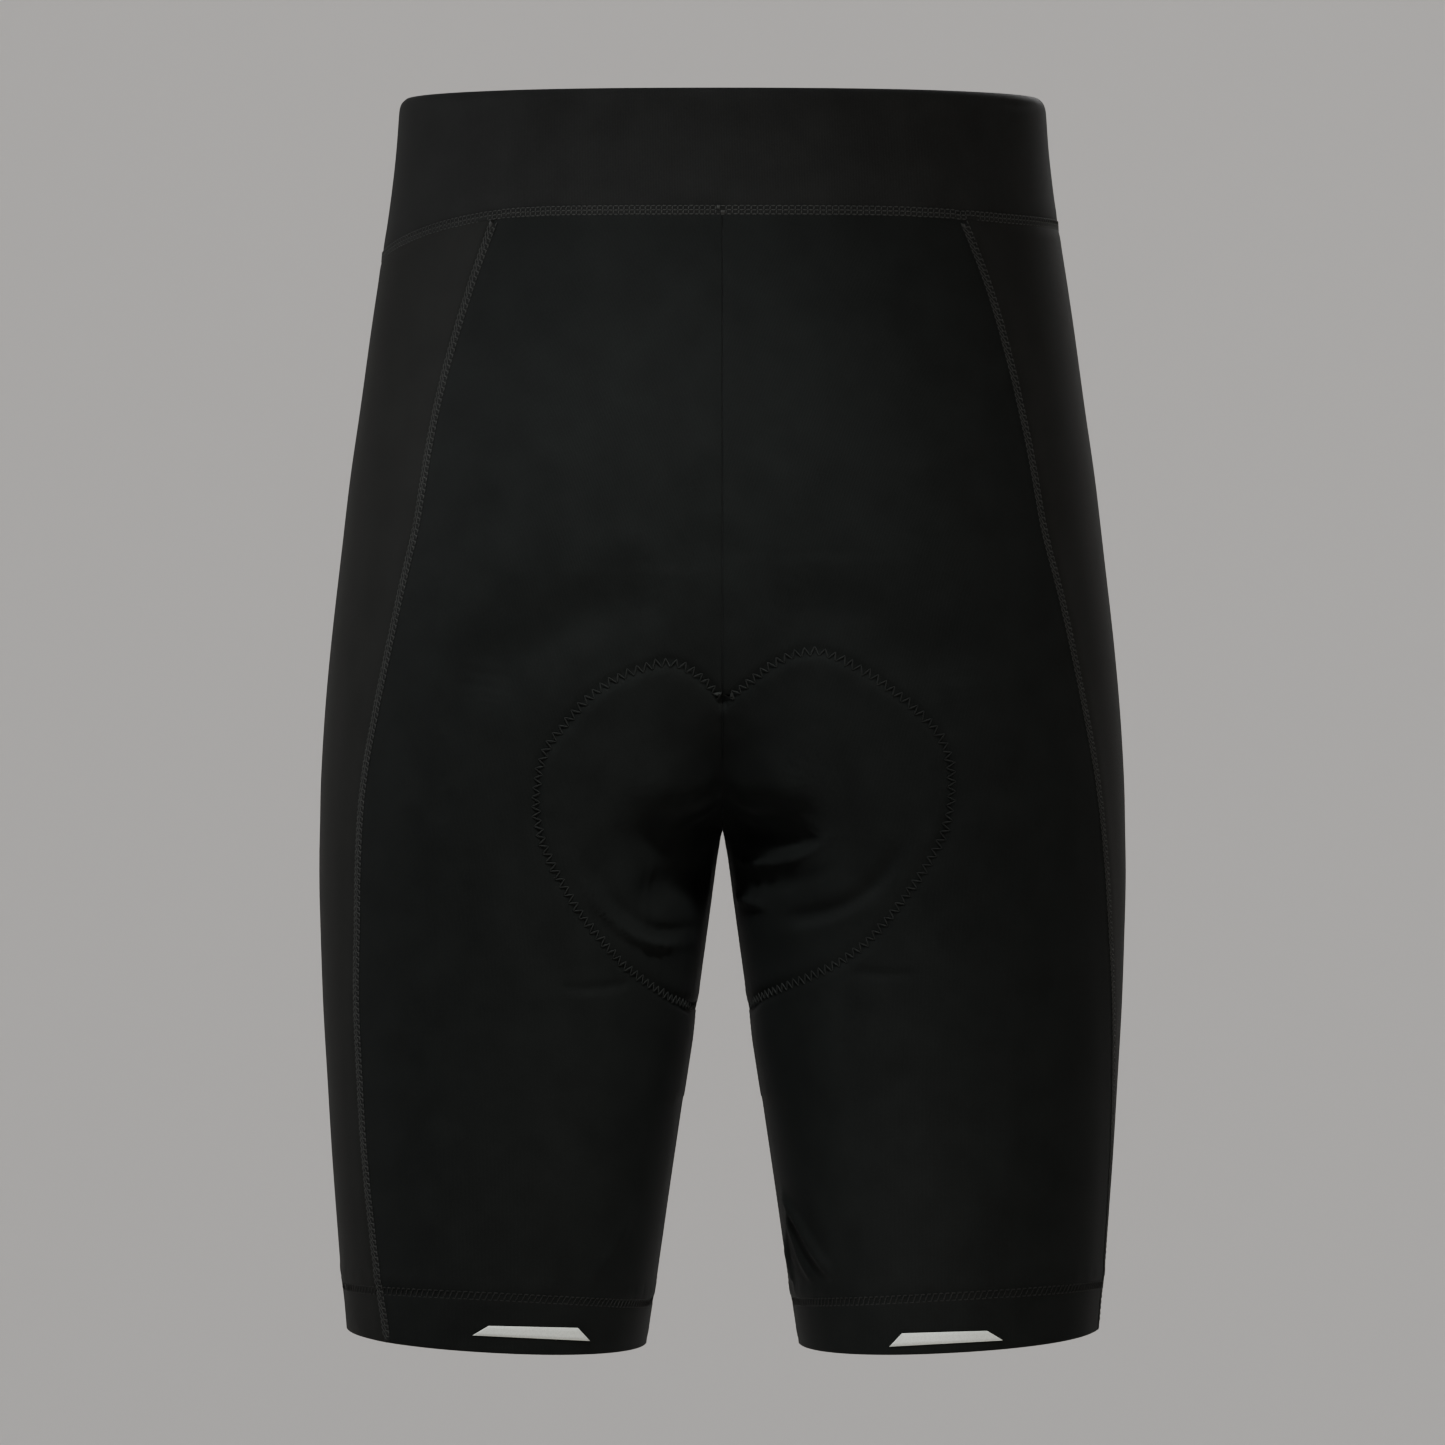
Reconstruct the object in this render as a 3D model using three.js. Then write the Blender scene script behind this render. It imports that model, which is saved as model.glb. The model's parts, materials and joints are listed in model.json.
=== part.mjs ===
// Men's cycling shorts, filled out with no wearer. Sizes in millimetres.
// +Z is up, +Y points to the wearer's front and +X to the wearer's right.
// The origin is the centre of the waist opening, where the wearer's waist holds the shorts up.

import * as THREE from "three";

// Cloth
const WALL = 1.2; // one layer of warp knit
const BAND_WALL = 2.2; // the waistband is folded double
const HEM_WALL = 2.2; // the leg hem is turned up once
const SEAM_GAP = 0.3; // between pieces that are sewn edge to edge
const HEM_STEP = 0.5; // the hem draws the leg in by this much at its stitch line

// Main heights
const CROTCH_Z = -324;
const HEM_BACK_RISE = 24; // height of the turned-up hem behind and in front
const HEM_SIDE_RISE = 19; // and at the sides of the leg
const HEM_OUTER_Z = -544.5; // hem edge at the outside of the leg
const HEM_INNER_Z = -552; // and at the inside, because the leg leans outwards

// Colours of the cloth, film and pad
const LYCRA = 0x16191a;
const LYCRA_SIDE = 0x1b1e1f;
const BAND_KNIT = 0x171a1b;
const PAD_FOAM = 0x2a2d30;
const REFLECTIVE_FILM = 0xbcc6bf;

// Horizontal section of one half at each height. side: half width at the outside. axis: middle of
// the lobe or leg. inBack, inFront: where its inner side would lie, below zero where the two halves
// run into each other. back, front: depth. mid: y of the widest point. soft: half width of the
// rounded valley on the centre line.
const SECTIONS = [
  { z: 4, side: 144.4, axis: 0, inBack: -150, inFront: -150, back: -97, front: 93, mid: 0, soft: 0 },
  { z: -13, side: 145.0, axis: 0, inBack: -150, inFront: -150, back: -99, front: 94, mid: 0, soft: 4 },
  { z: -44, side: 148.2, axis: 4, inBack: -150, inFront: -150, back: -104, front: 96, mid: 0, soft: 10 },
  { z: -75, side: 152.9, axis: 10, inBack: -148, inFront: -150, back: -109, front: 98, mid: 0, soft: 14 },
  { z: -106, side: 157.3, axis: 18, inBack: -142, inFront: -150, back: -114, front: 100, mid: -1, soft: 18 },
  { z: -137, side: 161.3, axis: 28, inBack: -134, inFront: -148, back: -118.5, front: 101, mid: -2, soft: 22 },
  { z: -168, side: 165.8, axis: 39, inBack: -122, inFront: -144, back: -121.5, front: 102, mid: -3, soft: 24 },
  { z: -199, side: 169.3, axis: 51, inBack: -106, inFront: -134, back: -121.5, front: 102.5, mid: -3, soft: 24 },
  { z: -230, side: 172.9, axis: 62, inBack: -86, inFront: -116, back: -118, front: 102.5, mid: -3, soft: 22 },
  { z: -255, side: 175.5, axis: 71, inBack: -67, inFront: -86, back: -113.5, front: 102, mid: -2, soft: 17 },
  { z: -277, side: 177.3, axis: 78, inBack: -44, inFront: -54, back: -109.5, front: 101.3, mid: -1, soft: 12 },
  { z: -293, side: 178.3, axis: 82.5, inBack: -24, inFront: -28, back: -106.2, front: 100.5, mid: 0, soft: 8 },
  { z: -303, side: 178.8, axis: 84.8, inBack: -12.5, inFront: -14.5, back: -104.2, front: 100, mid: 0, soft: 5.5 },
  { z: -311, side: 179.0, axis: 86.6, inBack: -5.4, inFront: -6.2, back: -102.7, front: 99.6, mid: 0, soft: 4 },
  { z: -317, side: 179.1, axis: 88, inBack: -1.4, inFront: -1.7, back: -101.5, front: 99.2, mid: 0, soft: 3 },
  { z: -324, side: 179.2, axis: 89.5, inBack: 1.2, inFront: 1.2, back: -100, front: 98.8, mid: 0, soft: 2.4 },
  { z: -331, side: 179.4, axis: 90.3, inBack: 2.3, inFront: 2.3, back: -98.6, front: 98.2, mid: 0, soft: 2.2 },
  { z: -345, side: 179.5, axis: 91.3, inBack: 3.8, inFront: 3.8, back: -96, front: 97, mid: 0, soft: 2 },
  { z: -370, side: 178.9, axis: 93, inBack: 7.1, inFront: 7.1, back: -91.5, front: 94.5, mid: 0, soft: 1 },
  { z: -402, side: 177.8, axis: 94.7, inBack: 11.6, inFront: 11.6, back: -87, front: 91, mid: 0, soft: 1 },
  { z: -433, side: 176.0, axis: 96.2, inBack: 16.3, inFront: 16.3, back: -83.5, front: 87.5, mid: 0, soft: 1 },
  { z: -464, side: 174.2, axis: 97.5, inBack: 20.9, inFront: 20.9, back: -81, front: 84, mid: 0, soft: 1 },
  { z: -495, side: 172.0, axis: 98.7, inBack: 25.4, inFront: 25.4, back: -79, front: 81, mid: 0, soft: 1 },
  { z: -526, side: 169.6, axis: 99.7, inBack: 29.8, inFront: 29.8, back: -77.5, front: 78.5, mid: 0, soft: 1 },
  { z: -556, side: 167.2, axis: 100.5, inBack: 33.8, inFront: 33.8, back: -76.5, front: 77, mid: 0, soft: 1 },
];
const SQUARE_OUTSIDE = 2.25; // exponent of the section's outer quarters, 2 is an ellipse
const SQUARE_INSIDE = 2.15; // and of its inner quarters
const SECTION_STEPS = 144;

// Height of the waist seam. share: way round one half, from centre back to centre front.
const WAIST_SEAM = [
  { share: 0.0, left: -53.2, right: -53.2 },
  { share: 0.16, left: -53.2, right: -53.2 },
  { share: 0.26, left: -54.5, right: -54.2 },
  { share: 0.34, left: -59.5, right: -55.6 },
  { share: 0.42, left: -66.5, right: -56.0 },
  { share: 0.5, left: -71.2, right: -56.2 },
  { share: 0.62, left: -68, right: -57.5 },
  { share: 0.8, left: -60, right: -58.5 },
  { share: 1.0, left: -59, right: -59 },
];

// Seams of the side panel, as cloth from the side line back to the rear seam and forward to the
// front seam. The legs sit turned a little to the wearer's right, so the two sides differ.
const SIDE_SEAMS = [
  { z: -50, backLeft: 107, backRight: 101, frontLeft: 76, frontRight: 76 },
  { z: -90, backLeft: 102, backRight: 94, frontLeft: 72, frontRight: 72 },
  { z: -135, backLeft: 99, backRight: 91.5, frontLeft: 68, frontRight: 68 },
  { z: -185, backLeft: 101, backRight: 92, frontLeft: 64, frontRight: 66 },
  { z: -225, backLeft: 95, backRight: 84, frontLeft: 60, frontRight: 64 },
  { z: -270, backLeft: 86, backRight: 74, frontLeft: 56, frontRight: 62 },
  { z: -310, backLeft: 77, backRight: 63, frontLeft: 52, frontRight: 60 },
  { z: -355, backLeft: 70, backRight: 51, frontLeft: 46, frontRight: 60 },
  { z: -400, backLeft: 63, backRight: 38, frontLeft: 40, frontRight: 60 },
  { z: -460, backLeft: 60, backRight: 25, frontLeft: 34, frontRight: 60 },
  { z: -505, backLeft: 61.5, backRight: 20, frontLeft: 31, frontRight: 60 },
  { z: -556, backLeft: 66, backRight: 16, frontLeft: 29, frontRight: 60 },
];

// Folds under the seat, seen from behind: three places (x, z) along each, its half width and its
// height, which is below zero for a trough.
const FOLDS = [
  { from: [-64, -324], over: [-45, -362], to: [-11, -367.5], width: 4.5, height: -2.6 },
  { from: [-60, -334], over: [-43, -370], to: [-9, -373], width: 4, height: 1.6 },
  { from: [-4, -313], over: [-16, -322], to: [-38, -331], width: 8, height: -2.2 },
  { from: [12, -309], over: [28, -314], to: [44, -318], width: 8, height: -3 },
  { from: [4, -329], over: [28, -338], to: [49, -320], width: 4, height: 2.2 },
  { from: [77, -326], over: [62, -349], to: [24, -360], width: 5, height: -2 },
];
const FOLD_STEPS = 12;
const FOLD_FADE = 0.35;

// Outline of the seat pad on the right half, seen from behind, from its notch over the lobe and
// down to the inside of the thigh, and then its front part, seen from the front, from its tip down.
const PAD_BACK = [
  { x: 0, z: -264 },
  { x: 10, z: -255.5 },
  { x: 22, z: -248.5 },
  { x: 37, z: -245 },
  { x: 54, z: -248 },
  { x: 71, z: -256.5 },
  { x: 85, z: -268.5 },
  { x: 94.5, z: -283 },
  { x: 98.5, z: -299 },
  { x: 95.5, z: -319 },
  { x: 84.5, z: -342 },
  { x: 69, z: -362 },
  { x: 50, z: -378 },
  { x: 28, z: -391 },
];
const PAD_FRONT = [
  { x: 0, z: -250 },
  { x: 12, z: -251.5 },
  { x: 23, z: -258 },
  { x: 30, z: -270 },
  { x: 34, z: -290 },
  { x: 37, z: -315 },
  { x: 38, z: -340 },
  { x: 35, z: -362 },
  { x: 28, z: -381 },
];
const PAD_FOOT_Z = -401; // its lowest place, on the inseam
const PAD_THICK = 8;
const PAD_EDGE = 1.6;
const PAD_BEVEL = 26; // width over which it thins towards its edge
const PAD_CLEARANCE = 0.85; // to the cloth, whose flat facets cut the curve a little
const PAD_SPREAD = 2.2; // how much wider than a fold in the cloth the pad gives way to it
const PAD_FRONT_CLEARANCE = 1; // more of it in front, where the cloth bends most
const PAD_HOLLOW = 2.4; // and where it spans the crotch ridge, away from its sewn edge
const PAD_RISE_ROWS = 14;
const PAD_THIGH_ROWS = 7;
const PAD_COLUMNS = 8;

// Reflective films on the back of the hems: cloth from the inseam to each lower corner, how much
// shorter the upper edge is at each end, and the height of the lower edge above the hem edge.
const FILMS = {
  left: { near: 70, far: 124, nearCut: 5.5, farCut: 6.5, above: 6.4 },
  right: { near: 87, far: 137.5, nearCut: 6, farCut: 6.5, above: 4.4 },
};
const FILM_HEIGHT = 5.8;
const FILM_THICK = 0.5;
const FILM_CLEARANCE = 0.4;
const FILM_COLUMNS = 10;

// The rolled upper edge of the waistband: how far below the opening each row lies, and how far the
// outside and the inside of the cloth have turned in there.
const BAND_EDGE = [
  { below: 0, outside: 3.1, inside: 4.2 },
  { below: 1.2, outside: 1.4, inside: 3.4 },
  { below: 3.6, outside: 0.3, inside: 2.5 },
  { below: 7, outside: 0, inside: BAND_WALL },
];
const BAND_ROWS = 4; // and the rows below that

// Rows of cloth: body rows run from the waist seam to the hem stitch, hem rows follow the edge.
const BODY_ROWS = 36;
const HEM_ROWS = 3;
const ROWS = BODY_ROWS + HEM_ROWS;
const FORK_ROW = 22; // the row that ends at the crotch point
const STITCH_RISE = 3; // the last body row lies this far above the hem's own rows
const ROW_SPREAD = [
  { row: 0, drop: 0 },
  { row: 12, drop: 0.4 },
  { row: 22, drop: 0.62 },
  { row: 30, drop: 0.82 },
  { row: 36, drop: 1 },
];
const BACK_COLUMNS = 14;
const SIDE_COLUMNS = 6;
const FRONT_COLUMNS = 12;
const CENTRE_CROWDING = 1.25; // columns lie closer together towards the centre seams

const SIDES = { left: -1, right: 1 };

function mix(a, b, share) {
  return a + (b - a) * share;
}

function smooth(share) {
  const t = Math.min(1, Math.max(0, share));
  return t * t * (3 - 2 * t);
}

// Smooth reading of one column of a table whose key rises or falls steadily.
function readTable(table, key, column, at) {
  const rising = table[table.length - 1][key] > table[0][key];
  const sign = rising ? 1 : -1;
  const place = at * sign;
  const count = table.length;
  if (place <= table[0][key] * sign) return table[0][column];
  if (place >= table[count - 1][key] * sign) return table[count - 1][column];
  let i = 0;
  while (table[i + 1][key] * sign < place) i += 1;
  const slope = (a, b) =>
    (table[b][column] - table[a][column]) / ((table[b][key] - table[a][key]) * sign);
  const tangent = (n) => {
    if (n === 0) return slope(0, 1);
    if (n === count - 1) return slope(count - 2, count - 1);
    const before = slope(n - 1, n);
    const after = slope(n, n + 1);
    if (before * after <= 0) return 0;
    return (2 * before * after) / (before + after);
  };
  const span = (table[i + 1][key] - table[i][key]) * sign;
  const t = (place - table[i][key] * sign) / span;
  const h1 = 2 * t ** 3 - 3 * t ** 2 + 1;
  const h2 = t ** 3 - 2 * t ** 2 + t;
  const h3 = -2 * t ** 3 + 3 * t ** 2;
  const h4 = t ** 3 - t ** 2;
  return (
    h1 * table[i][column] +
    h2 * span * tangent(i) +
    h3 * table[i + 1][column] +
    h4 * span * tangent(i + 1)
  );
}

const sectionCache = new Map();

// Outline of the right half at one height, from the centre back round the side to the centre front.
function section(z) {
  const key = Math.round(z * 100);
  if (sectionCache.has(key)) return sectionCache.get(key);
  const size = {};
  for (const column of ["side", "axis", "inBack", "inFront", "back", "front", "mid", "soft"]) {
    size[column] = readTable(SECTIONS, "z", column, z);
  }
  if (z <= CROTCH_Z) size.inFront = size.inBack;
  const outer = size.side - size.axis;
  const startAngle = (inner) => {
    const fromAxis = size.soft / 2 - size.axis;
    if (fromAxis >= 0) return Math.acos((fromAxis / outer) ** (SQUARE_OUTSIDE / 2));
    const share = Math.min(1, -fromAxis / (size.axis - inner));
    return Math.acos(-(share ** (SQUARE_INSIDE / 2)));
  };
  const first = -startAngle(size.inBack);
  const last = startAngle(size.inFront);
  const points = [];
  for (let i = 0; i <= SECTION_STEPS; i += 1) {
    const turn = (2 * i) / SECTION_STEPS - 1;
    const angle = turn < 0 ? -turn * first : turn * last;
    const c = Math.cos(angle);
    const s = Math.sin(angle);
    const power = 2 / (c > 0 ? SQUARE_OUTSIDE : SQUARE_INSIDE);
    const inner = s < 0 ? size.inBack : size.inFront;
    const radius = c > 0 ? outer : size.axis - inner;
    const depth = s < 0 ? size.mid - size.back : size.front - size.mid;
    let x = size.axis + Math.sign(c) * radius * Math.abs(c) ** power;
    if (x < size.soft) x = size.soft * Math.sqrt(Math.max(0, (2 * x) / size.soft - 1));
    points.push([x, size.mid + Math.sign(s) * depth * Math.abs(s) ** power]);
  }
  const isOpen = size.inBack < size.soft / 2;
  if (isOpen) {
    points[0][0] = 0;
    points[SECTION_STEPS][0] = 0;
  }
  const reach = [0];
  for (let i = 1; i < points.length; i += 1) {
    const step = Math.hypot(points[i][0] - points[i - 1][0], points[i][1] - points[i - 1][1]);
    reach.push(reach[i - 1] + step);
  }
  const result = { points, reach, length: reach[SECTION_STEPS], sideReach: reach[SECTION_STEPS / 2] };
  sectionCache.set(key, result);
  return result;
}

// Point of the right half at one height, a share of the way from centre back to centre front.
function halfPoint(z, share) {
  const { points, reach, length } = section(z);
  const target = Math.min(1, Math.max(0, share)) * length;
  let low = 0;
  let high = reach.length - 1;
  while (high - low > 1) {
    const middle = (low + high) >> 1;
    if (reach[middle] <= target) low = middle;
    else high = middle;
  }
  const t = (target - reach[low]) / Math.max(1e-9, reach[high] - reach[low]);
  return new THREE.Vector3(
    mix(points[low][0], points[high][0], t),
    mix(points[low][1], points[high][1], t),
    z,
  );
}

// Height of the hem edge, which slopes down towards the inside of the leg.
function hemEdge(share) {
  const nominal = (HEM_OUTER_Z + HEM_INNER_Z) / 2;
  const { points } = section(nominal);
  const widest = Math.max(...points.map((point) => point[0]));
  const narrowest = Math.min(...points.map((point) => point[0]));
  const outwards = (halfPoint(nominal, share).x - narrowest) / (widest - narrowest);
  return mix(HEM_INNER_Z, HEM_OUTER_Z, outwards);
}

// Height of the turned-up hem, lower at the sides of the leg than behind and in front.
function hemRise(share) {
  return mix(HEM_SIDE_RISE, HEM_BACK_RISE, Math.sin(2 * Math.PI * share) ** 2);
}

// Heights at which the centre seam, read from the crotch up, has run each share of its length.
function riseHeights(end, topZ) {
  const steps = 240;
  const path = [];
  for (let i = 0; i <= steps; i += 1) {
    path.push(halfPoint(mix(CROTCH_Z, topZ, (i / steps) ** 2), end));
  }
  const run = [0];
  for (let i = 1; i < path.length; i += 1) run.push(run[i - 1] + path[i].distanceTo(path[i - 1]));
  return (share) => {
    const target = share * run[run.length - 1];
    let i = 1;
    while (i < run.length - 1 && run[i] < target) i += 1;
    return mix(path[i - 1].z, path[i].z, (target - run[i - 1]) / (run[i] - run[i - 1]));
  };
}

const drops = [];
for (let row = 0; row <= BODY_ROWS; row += 1) drops.push(readTable(ROW_SPREAD, "row", "drop", row));
const forkDrop = drops[FORK_ROW];
const riseBack = riseHeights(0, readTable(WAIST_SEAM, "share", "right", 0));
const riseFront = riseHeights(1, readTable(WAIST_SEAM, "share", "right", 1));

// Height of a row of cloth where it crosses one share of the half.
function rowHeight(sideName, row, share) {
  if (row > BODY_ROWS) return hemEdge(share) + (hemRise(share) * (ROWS - row)) / HEM_ROWS;
  const bottomAt = (at) => hemEdge(at) + hemRise(at) + STITCH_RISE;
  const evenly = (at) =>
    mix(readTable(WAIST_SEAM, "share", sideName, at), bottomAt(at), drops[row]);
  const endShift = (end, rise) => {
    if (row <= FORK_ROW) return rise(1 - drops[row] / forkDrop) - evenly(end);
    return mix(CROTCH_Z, bottomAt(end), (drops[row] - forkDrop) / (1 - forkDrop)) - evenly(end);
  };
  const nearBack = 1 - smooth(share / 0.42);
  const nearFront = 1 - smooth((1 - share) / 0.42);
  return evenly(share) + endShift(0, riseBack) * nearBack + endShift(1, riseFront) * nearFront;
}

// Shares of the half at which a row crosses the rear and the front seam of the side panel.
function seamShares(sideName, row) {
  const label = sideName === "left" ? "Left" : "Right";
  const find = (column, direction) => {
    let share = 0.5 + 0.15 * direction;
    for (let pass = 0; pass < 12; pass += 1) {
      const z = rowHeight(sideName, row, share);
      const { length, sideReach } = section(z);
      share = (sideReach + direction * readTable(SIDE_SEAMS, "z", column + label, z)) / length;
    }
    return share;
  };
  return { rear: find("back", -1), front: find("front", 1) };
}

// Shares of all columns of a row, the same ones that divide the panels.
function rowShares(sideName, row) {
  const { rear, front } = seamShares(sideName, row);
  const shares = [];
  for (let i = 0; i < BACK_COLUMNS; i += 1) {
    shares.push(rear * (i / BACK_COLUMNS) ** CENTRE_CROWDING);
  }
  for (let i = 0; i < SIDE_COLUMNS; i += 1) shares.push(mix(rear, front, i / SIDE_COLUMNS));
  for (let i = 0; i <= FRONT_COLUMNS; i += 1) {
    shares.push(mix(1, front, (1 - i / FRONT_COLUMNS) ** CENTRE_CROWDING));
  }
  return shares;
}

function foldPath(fold) {
  const path = [];
  for (let i = 0; i <= FOLD_STEPS; i += 1) {
    const t = i / FOLD_STEPS;
    const along = (axis) =>
      (1 - t) ** 2 * fold.from[axis] + 2 * t * (1 - t) * fold.over[axis] + t * t * fold.to[axis];
    path.push({ x: along(0), z: along(1), strength: smooth(4 * t) * smooth(4 * (1 - t)) });
  }
  return path;
}

const foldPaths = FOLDS.map(foldPath);

// How far the folds push the cloth out at one place, fading where it turns away from the back.
// What lies under the cloth is pushed in by the troughs alone, over a wider place.
function foldHeight(x, z, facing, spread = 1) {
  const turned = smooth(-facing.y / FOLD_FADE);
  if (turned === 0) return 0;
  return turned * FOLDS.reduce((sum, fold, index) => {
    if (spread > 1 && fold.height > 0) return sum;
    let nearest = Infinity;
    let strength = 0;
    for (const place of foldPaths[index]) {
      const distance = Math.hypot(place.x - x, place.z - z);
      if (distance < nearest) {
        nearest = distance;
        strength = place.strength;
      }
    }
    return sum + fold.height * strength * Math.exp(-((nearest / fold.width / spread) ** 2));
  }, 0);
}

// One half of the cloth: its points without folds, and the outward direction at each.
function halfGrid(sideName) {
  const sign = SIDES[sideName];
  const points = [];
  for (let row = 0; row <= ROWS; row += 1) {
    points.push(rowShares(sideName, row).map((share) => halfPoint(rowHeight(sideName, row, share), share)));
  }
  const columns = points[0].length - 1;
  const normals = points.map((row) => row.map(() => new THREE.Vector3()));
  for (let row = 0; row < ROWS; row += 1) {
    for (let column = 0; column < columns; column += 1) {
      const down = points[row + 1][column].clone().sub(points[row][column + 1]);
      const across = points[row + 1][column + 1].clone().sub(points[row][column]);
      const facing = across.clone().cross(down).negate();
      for (const [r, c] of [[row, column], [row + 1, column], [row + 1, column + 1], [row, column + 1]]) {
        normals[r][c].add(facing);
      }
    }
  }
  for (let row = 0; row <= ROWS; row += 1) {
    const first = normals[row][0];
    const last = normals[row][columns];
    if (row >= FORK_ROW) {
      first.add(last);
      last.copy(first);
    }
    if (row <= FORK_ROW) {
      first.x = 0;
      last.x = 0;
    }
    normals[row].forEach((normal) => normal.normalize());
  }
  rowShares(sideName, 0).forEach((share, column) => {
    normals[0][column].copy(halfNormal(points[0][column].z, share));
  });
  for (const row of [...points, ...normals]) row.forEach((vector) => (vector.x *= sign));
  return { points, normals, columns };
}

// Closed shell between two grids of points. The grids run down and then to the front; a mirrored
// one has its faces turned.
function shell(outer, inner, mirrored, closedRound = false) {
  const rows = outer.length;
  const columns = outer[0].length;
  const position = [];
  for (const grid of [outer, inner]) {
    for (const row of grid) row.forEach((point) => position.push(point.x, point.y, point.z));
  }
  const index = [];
  const at = (layer, row, column) => (layer * rows + row) * columns + (column % columns);
  const quad = (a, b, c, d) => {
    if (mirrored) index.push(a, c, b, a, d, c);
    else index.push(a, b, c, a, c, d);
  };
  const lastColumn = closedRound ? columns : columns - 1;
  for (let r = 0; r < rows - 1; r += 1) {
    for (let c = 0; c < lastColumn; c += 1) {
      quad(at(0, r, c), at(0, r + 1, c), at(0, r + 1, c + 1), at(0, r, c + 1));
      quad(at(1, r, c), at(1, r, c + 1), at(1, r + 1, c + 1), at(1, r + 1, c));
    }
    if (!closedRound) {
      const end = columns - 1;
      quad(at(0, r, 0), at(1, r, 0), at(1, r + 1, 0), at(0, r + 1, 0));
      quad(at(0, r, end), at(0, r + 1, end), at(1, r + 1, end), at(1, r, end));
    }
  }
  for (let c = 0; c < lastColumn; c += 1) {
    const bottom = rows - 1;
    quad(at(0, 0, c), at(0, 0, c + 1), at(1, 0, c + 1), at(1, 0, c));
    quad(at(0, bottom, c), at(1, bottom, c), at(1, bottom, c + 1), at(0, bottom, c + 1));
  }
  const geometry = new THREE.BufferGeometry();
  geometry.setAttribute("position", new THREE.Float32BufferAttribute(position, 3));
  geometry.setIndex(index);
  geometry.computeVertexNormals();
  return geometry;
}

// Moves the edge points of a grid half a seam gap inwards, along the cloth.
function trimEdges(grid, sign) {
  const lastRow = grid.length - 1;
  const lastColumn = grid[0].length - 1;
  const step = (from, to) => to.clone().sub(from).setLength(SEAM_GAP / 2);
  const moved = grid.map((row) => row.map((point) => point.clone()));
  for (let row = 0; row <= lastRow; row += 1) {
    moved[row][0].add(step(grid[row][0], grid[row][1]));
    moved[row][lastColumn].add(step(grid[row][lastColumn], grid[row][lastColumn - 1]));
  }
  for (let column = 0; column <= lastColumn; column += 1) {
    moved[0][column].add(step(grid[0][column], grid[1][column]));
  }
  for (const row of moved) {
    for (const point of row) point.x = sign * Math.max(SEAM_GAP / 2, sign * point.x);
  }
  return moved;
}

function cloth(colour, roughness = 0.78) {
  return new THREE.MeshStandardMaterial({ color: colour, roughness, metalness: 0 });
}

function namedMesh(name, geometry, material) {
  const mesh = new THREE.Mesh(geometry, material);
  mesh.name = name;
  return mesh;
}

// One panel of the body, a stretch of columns of its half.
function panel(name, sideName, half, firstColumn, lastColumn, colour) {
  const outer = [];
  const inner = [];
  for (let row = 0; row <= ROWS; row += 1) {
    const isHem = row > BODY_ROWS;
    const outside = [];
    const inside = [];
    for (let column = firstColumn; column <= lastColumn; column += 1) {
      const point = half.points[row][column];
      const normal = half.normals[row][column];
      const fold = isHem ? 0 : foldHeight(point.x, point.z, normal);
      const surface = point.clone().addScaledVector(normal, isHem ? -HEM_STEP : fold);
      outside.push(surface);
      inside.push(surface.clone().addScaledVector(normal, isHem ? -HEM_WALL : -WALL));
    }
    outer.push(outside);
    inner.push(inside);
  }
  const sign = SIDES[sideName];
  const geometry = shell(trimEdges(outer, sign), trimEdges(inner, sign), sign < 0);
  return namedMesh(name, geometry, cloth(colour));
}

// Outward direction of the right half at one height and share.
function halfNormal(z, share) {
  const reach = 0.004;
  const rise = 1.5;
  if (z === CROTCH_Z && (share <= 0 || share >= 1)) return new THREE.Vector3(0, 0, -1);
  const round = z < CROTCH_Z;
  const before = round && share < reach ? 1 - reach : share - reach;
  const after = round && share > 1 - reach ? reach : share + reach;
  const along = halfPoint(z, after).sub(halfPoint(z, before));
  const down = halfPoint(z - rise, share).sub(halfPoint(z + rise, share));
  const normal = down.cross(along);
  if (!round && (share <= 0 || share >= 1)) normal.x = 0;
  return normal.normalize();
}

// The waistband, a folded ring whose upper edge rolls in.
function waistband() {
  const outer = [];
  const inner = [];
  const stations = [];
  const right = rowShares("right", 0);
  const left = rowShares("left", 0);
  right.forEach((share) => stations.push({ sideName: "right", share }));
  left.slice(1, -1).reverse().forEach((share) => stations.push({ sideName: "left", share }));
  const rowCount = BAND_EDGE.length + BAND_ROWS;
  for (let row = 0; row < rowCount; row += 1) {
    const outside = [];
    const inside = [];
    for (const { sideName, share } of stations) {
      const sign = SIDES[sideName];
      const edge = BAND_EDGE[Math.min(row, BAND_EDGE.length - 1)];
      const foot = readTable(WAIST_SEAM, "share", sideName, share) + SEAM_GAP / 2;
      const below = Math.max(0, row - BAND_EDGE.length + 1) / BAND_ROWS;
      const z = mix(-edge.below, foot, below);
      const point = halfPoint(z, share);
      const normal = halfNormal(z, share);
      normal.z *= below;
      normal.normalize();
      const mirror = (vector) => new THREE.Vector3(vector.x * sign, vector.y, vector.z);
      outside.push(mirror(point.clone().addScaledVector(normal, -edge.outside)));
      inside.push(mirror(point.clone().addScaledVector(normal, -edge.inside)));
    }
    outer.push(outside);
    inner.push(inside);
  }
  return namedMesh("waistband", shell(outer, inner, false, true), cloth(BAND_KNIT, 0.82));
}

// Share of the half where the cloth, seen from behind or from the front, is x from the centre.
function shareAt(x, z, fromFront) {
  const { sideReach, length } = section(z);
  let near = fromFront ? 1 : 0;
  let far = sideReach / length;
  for (let pass = 0; pass < 40; pass += 1) {
    const middle = (near + far) / 2;
    if (halfPoint(z, middle).x < x) near = middle;
    else far = middle;
  }
  return near;
}

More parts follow.
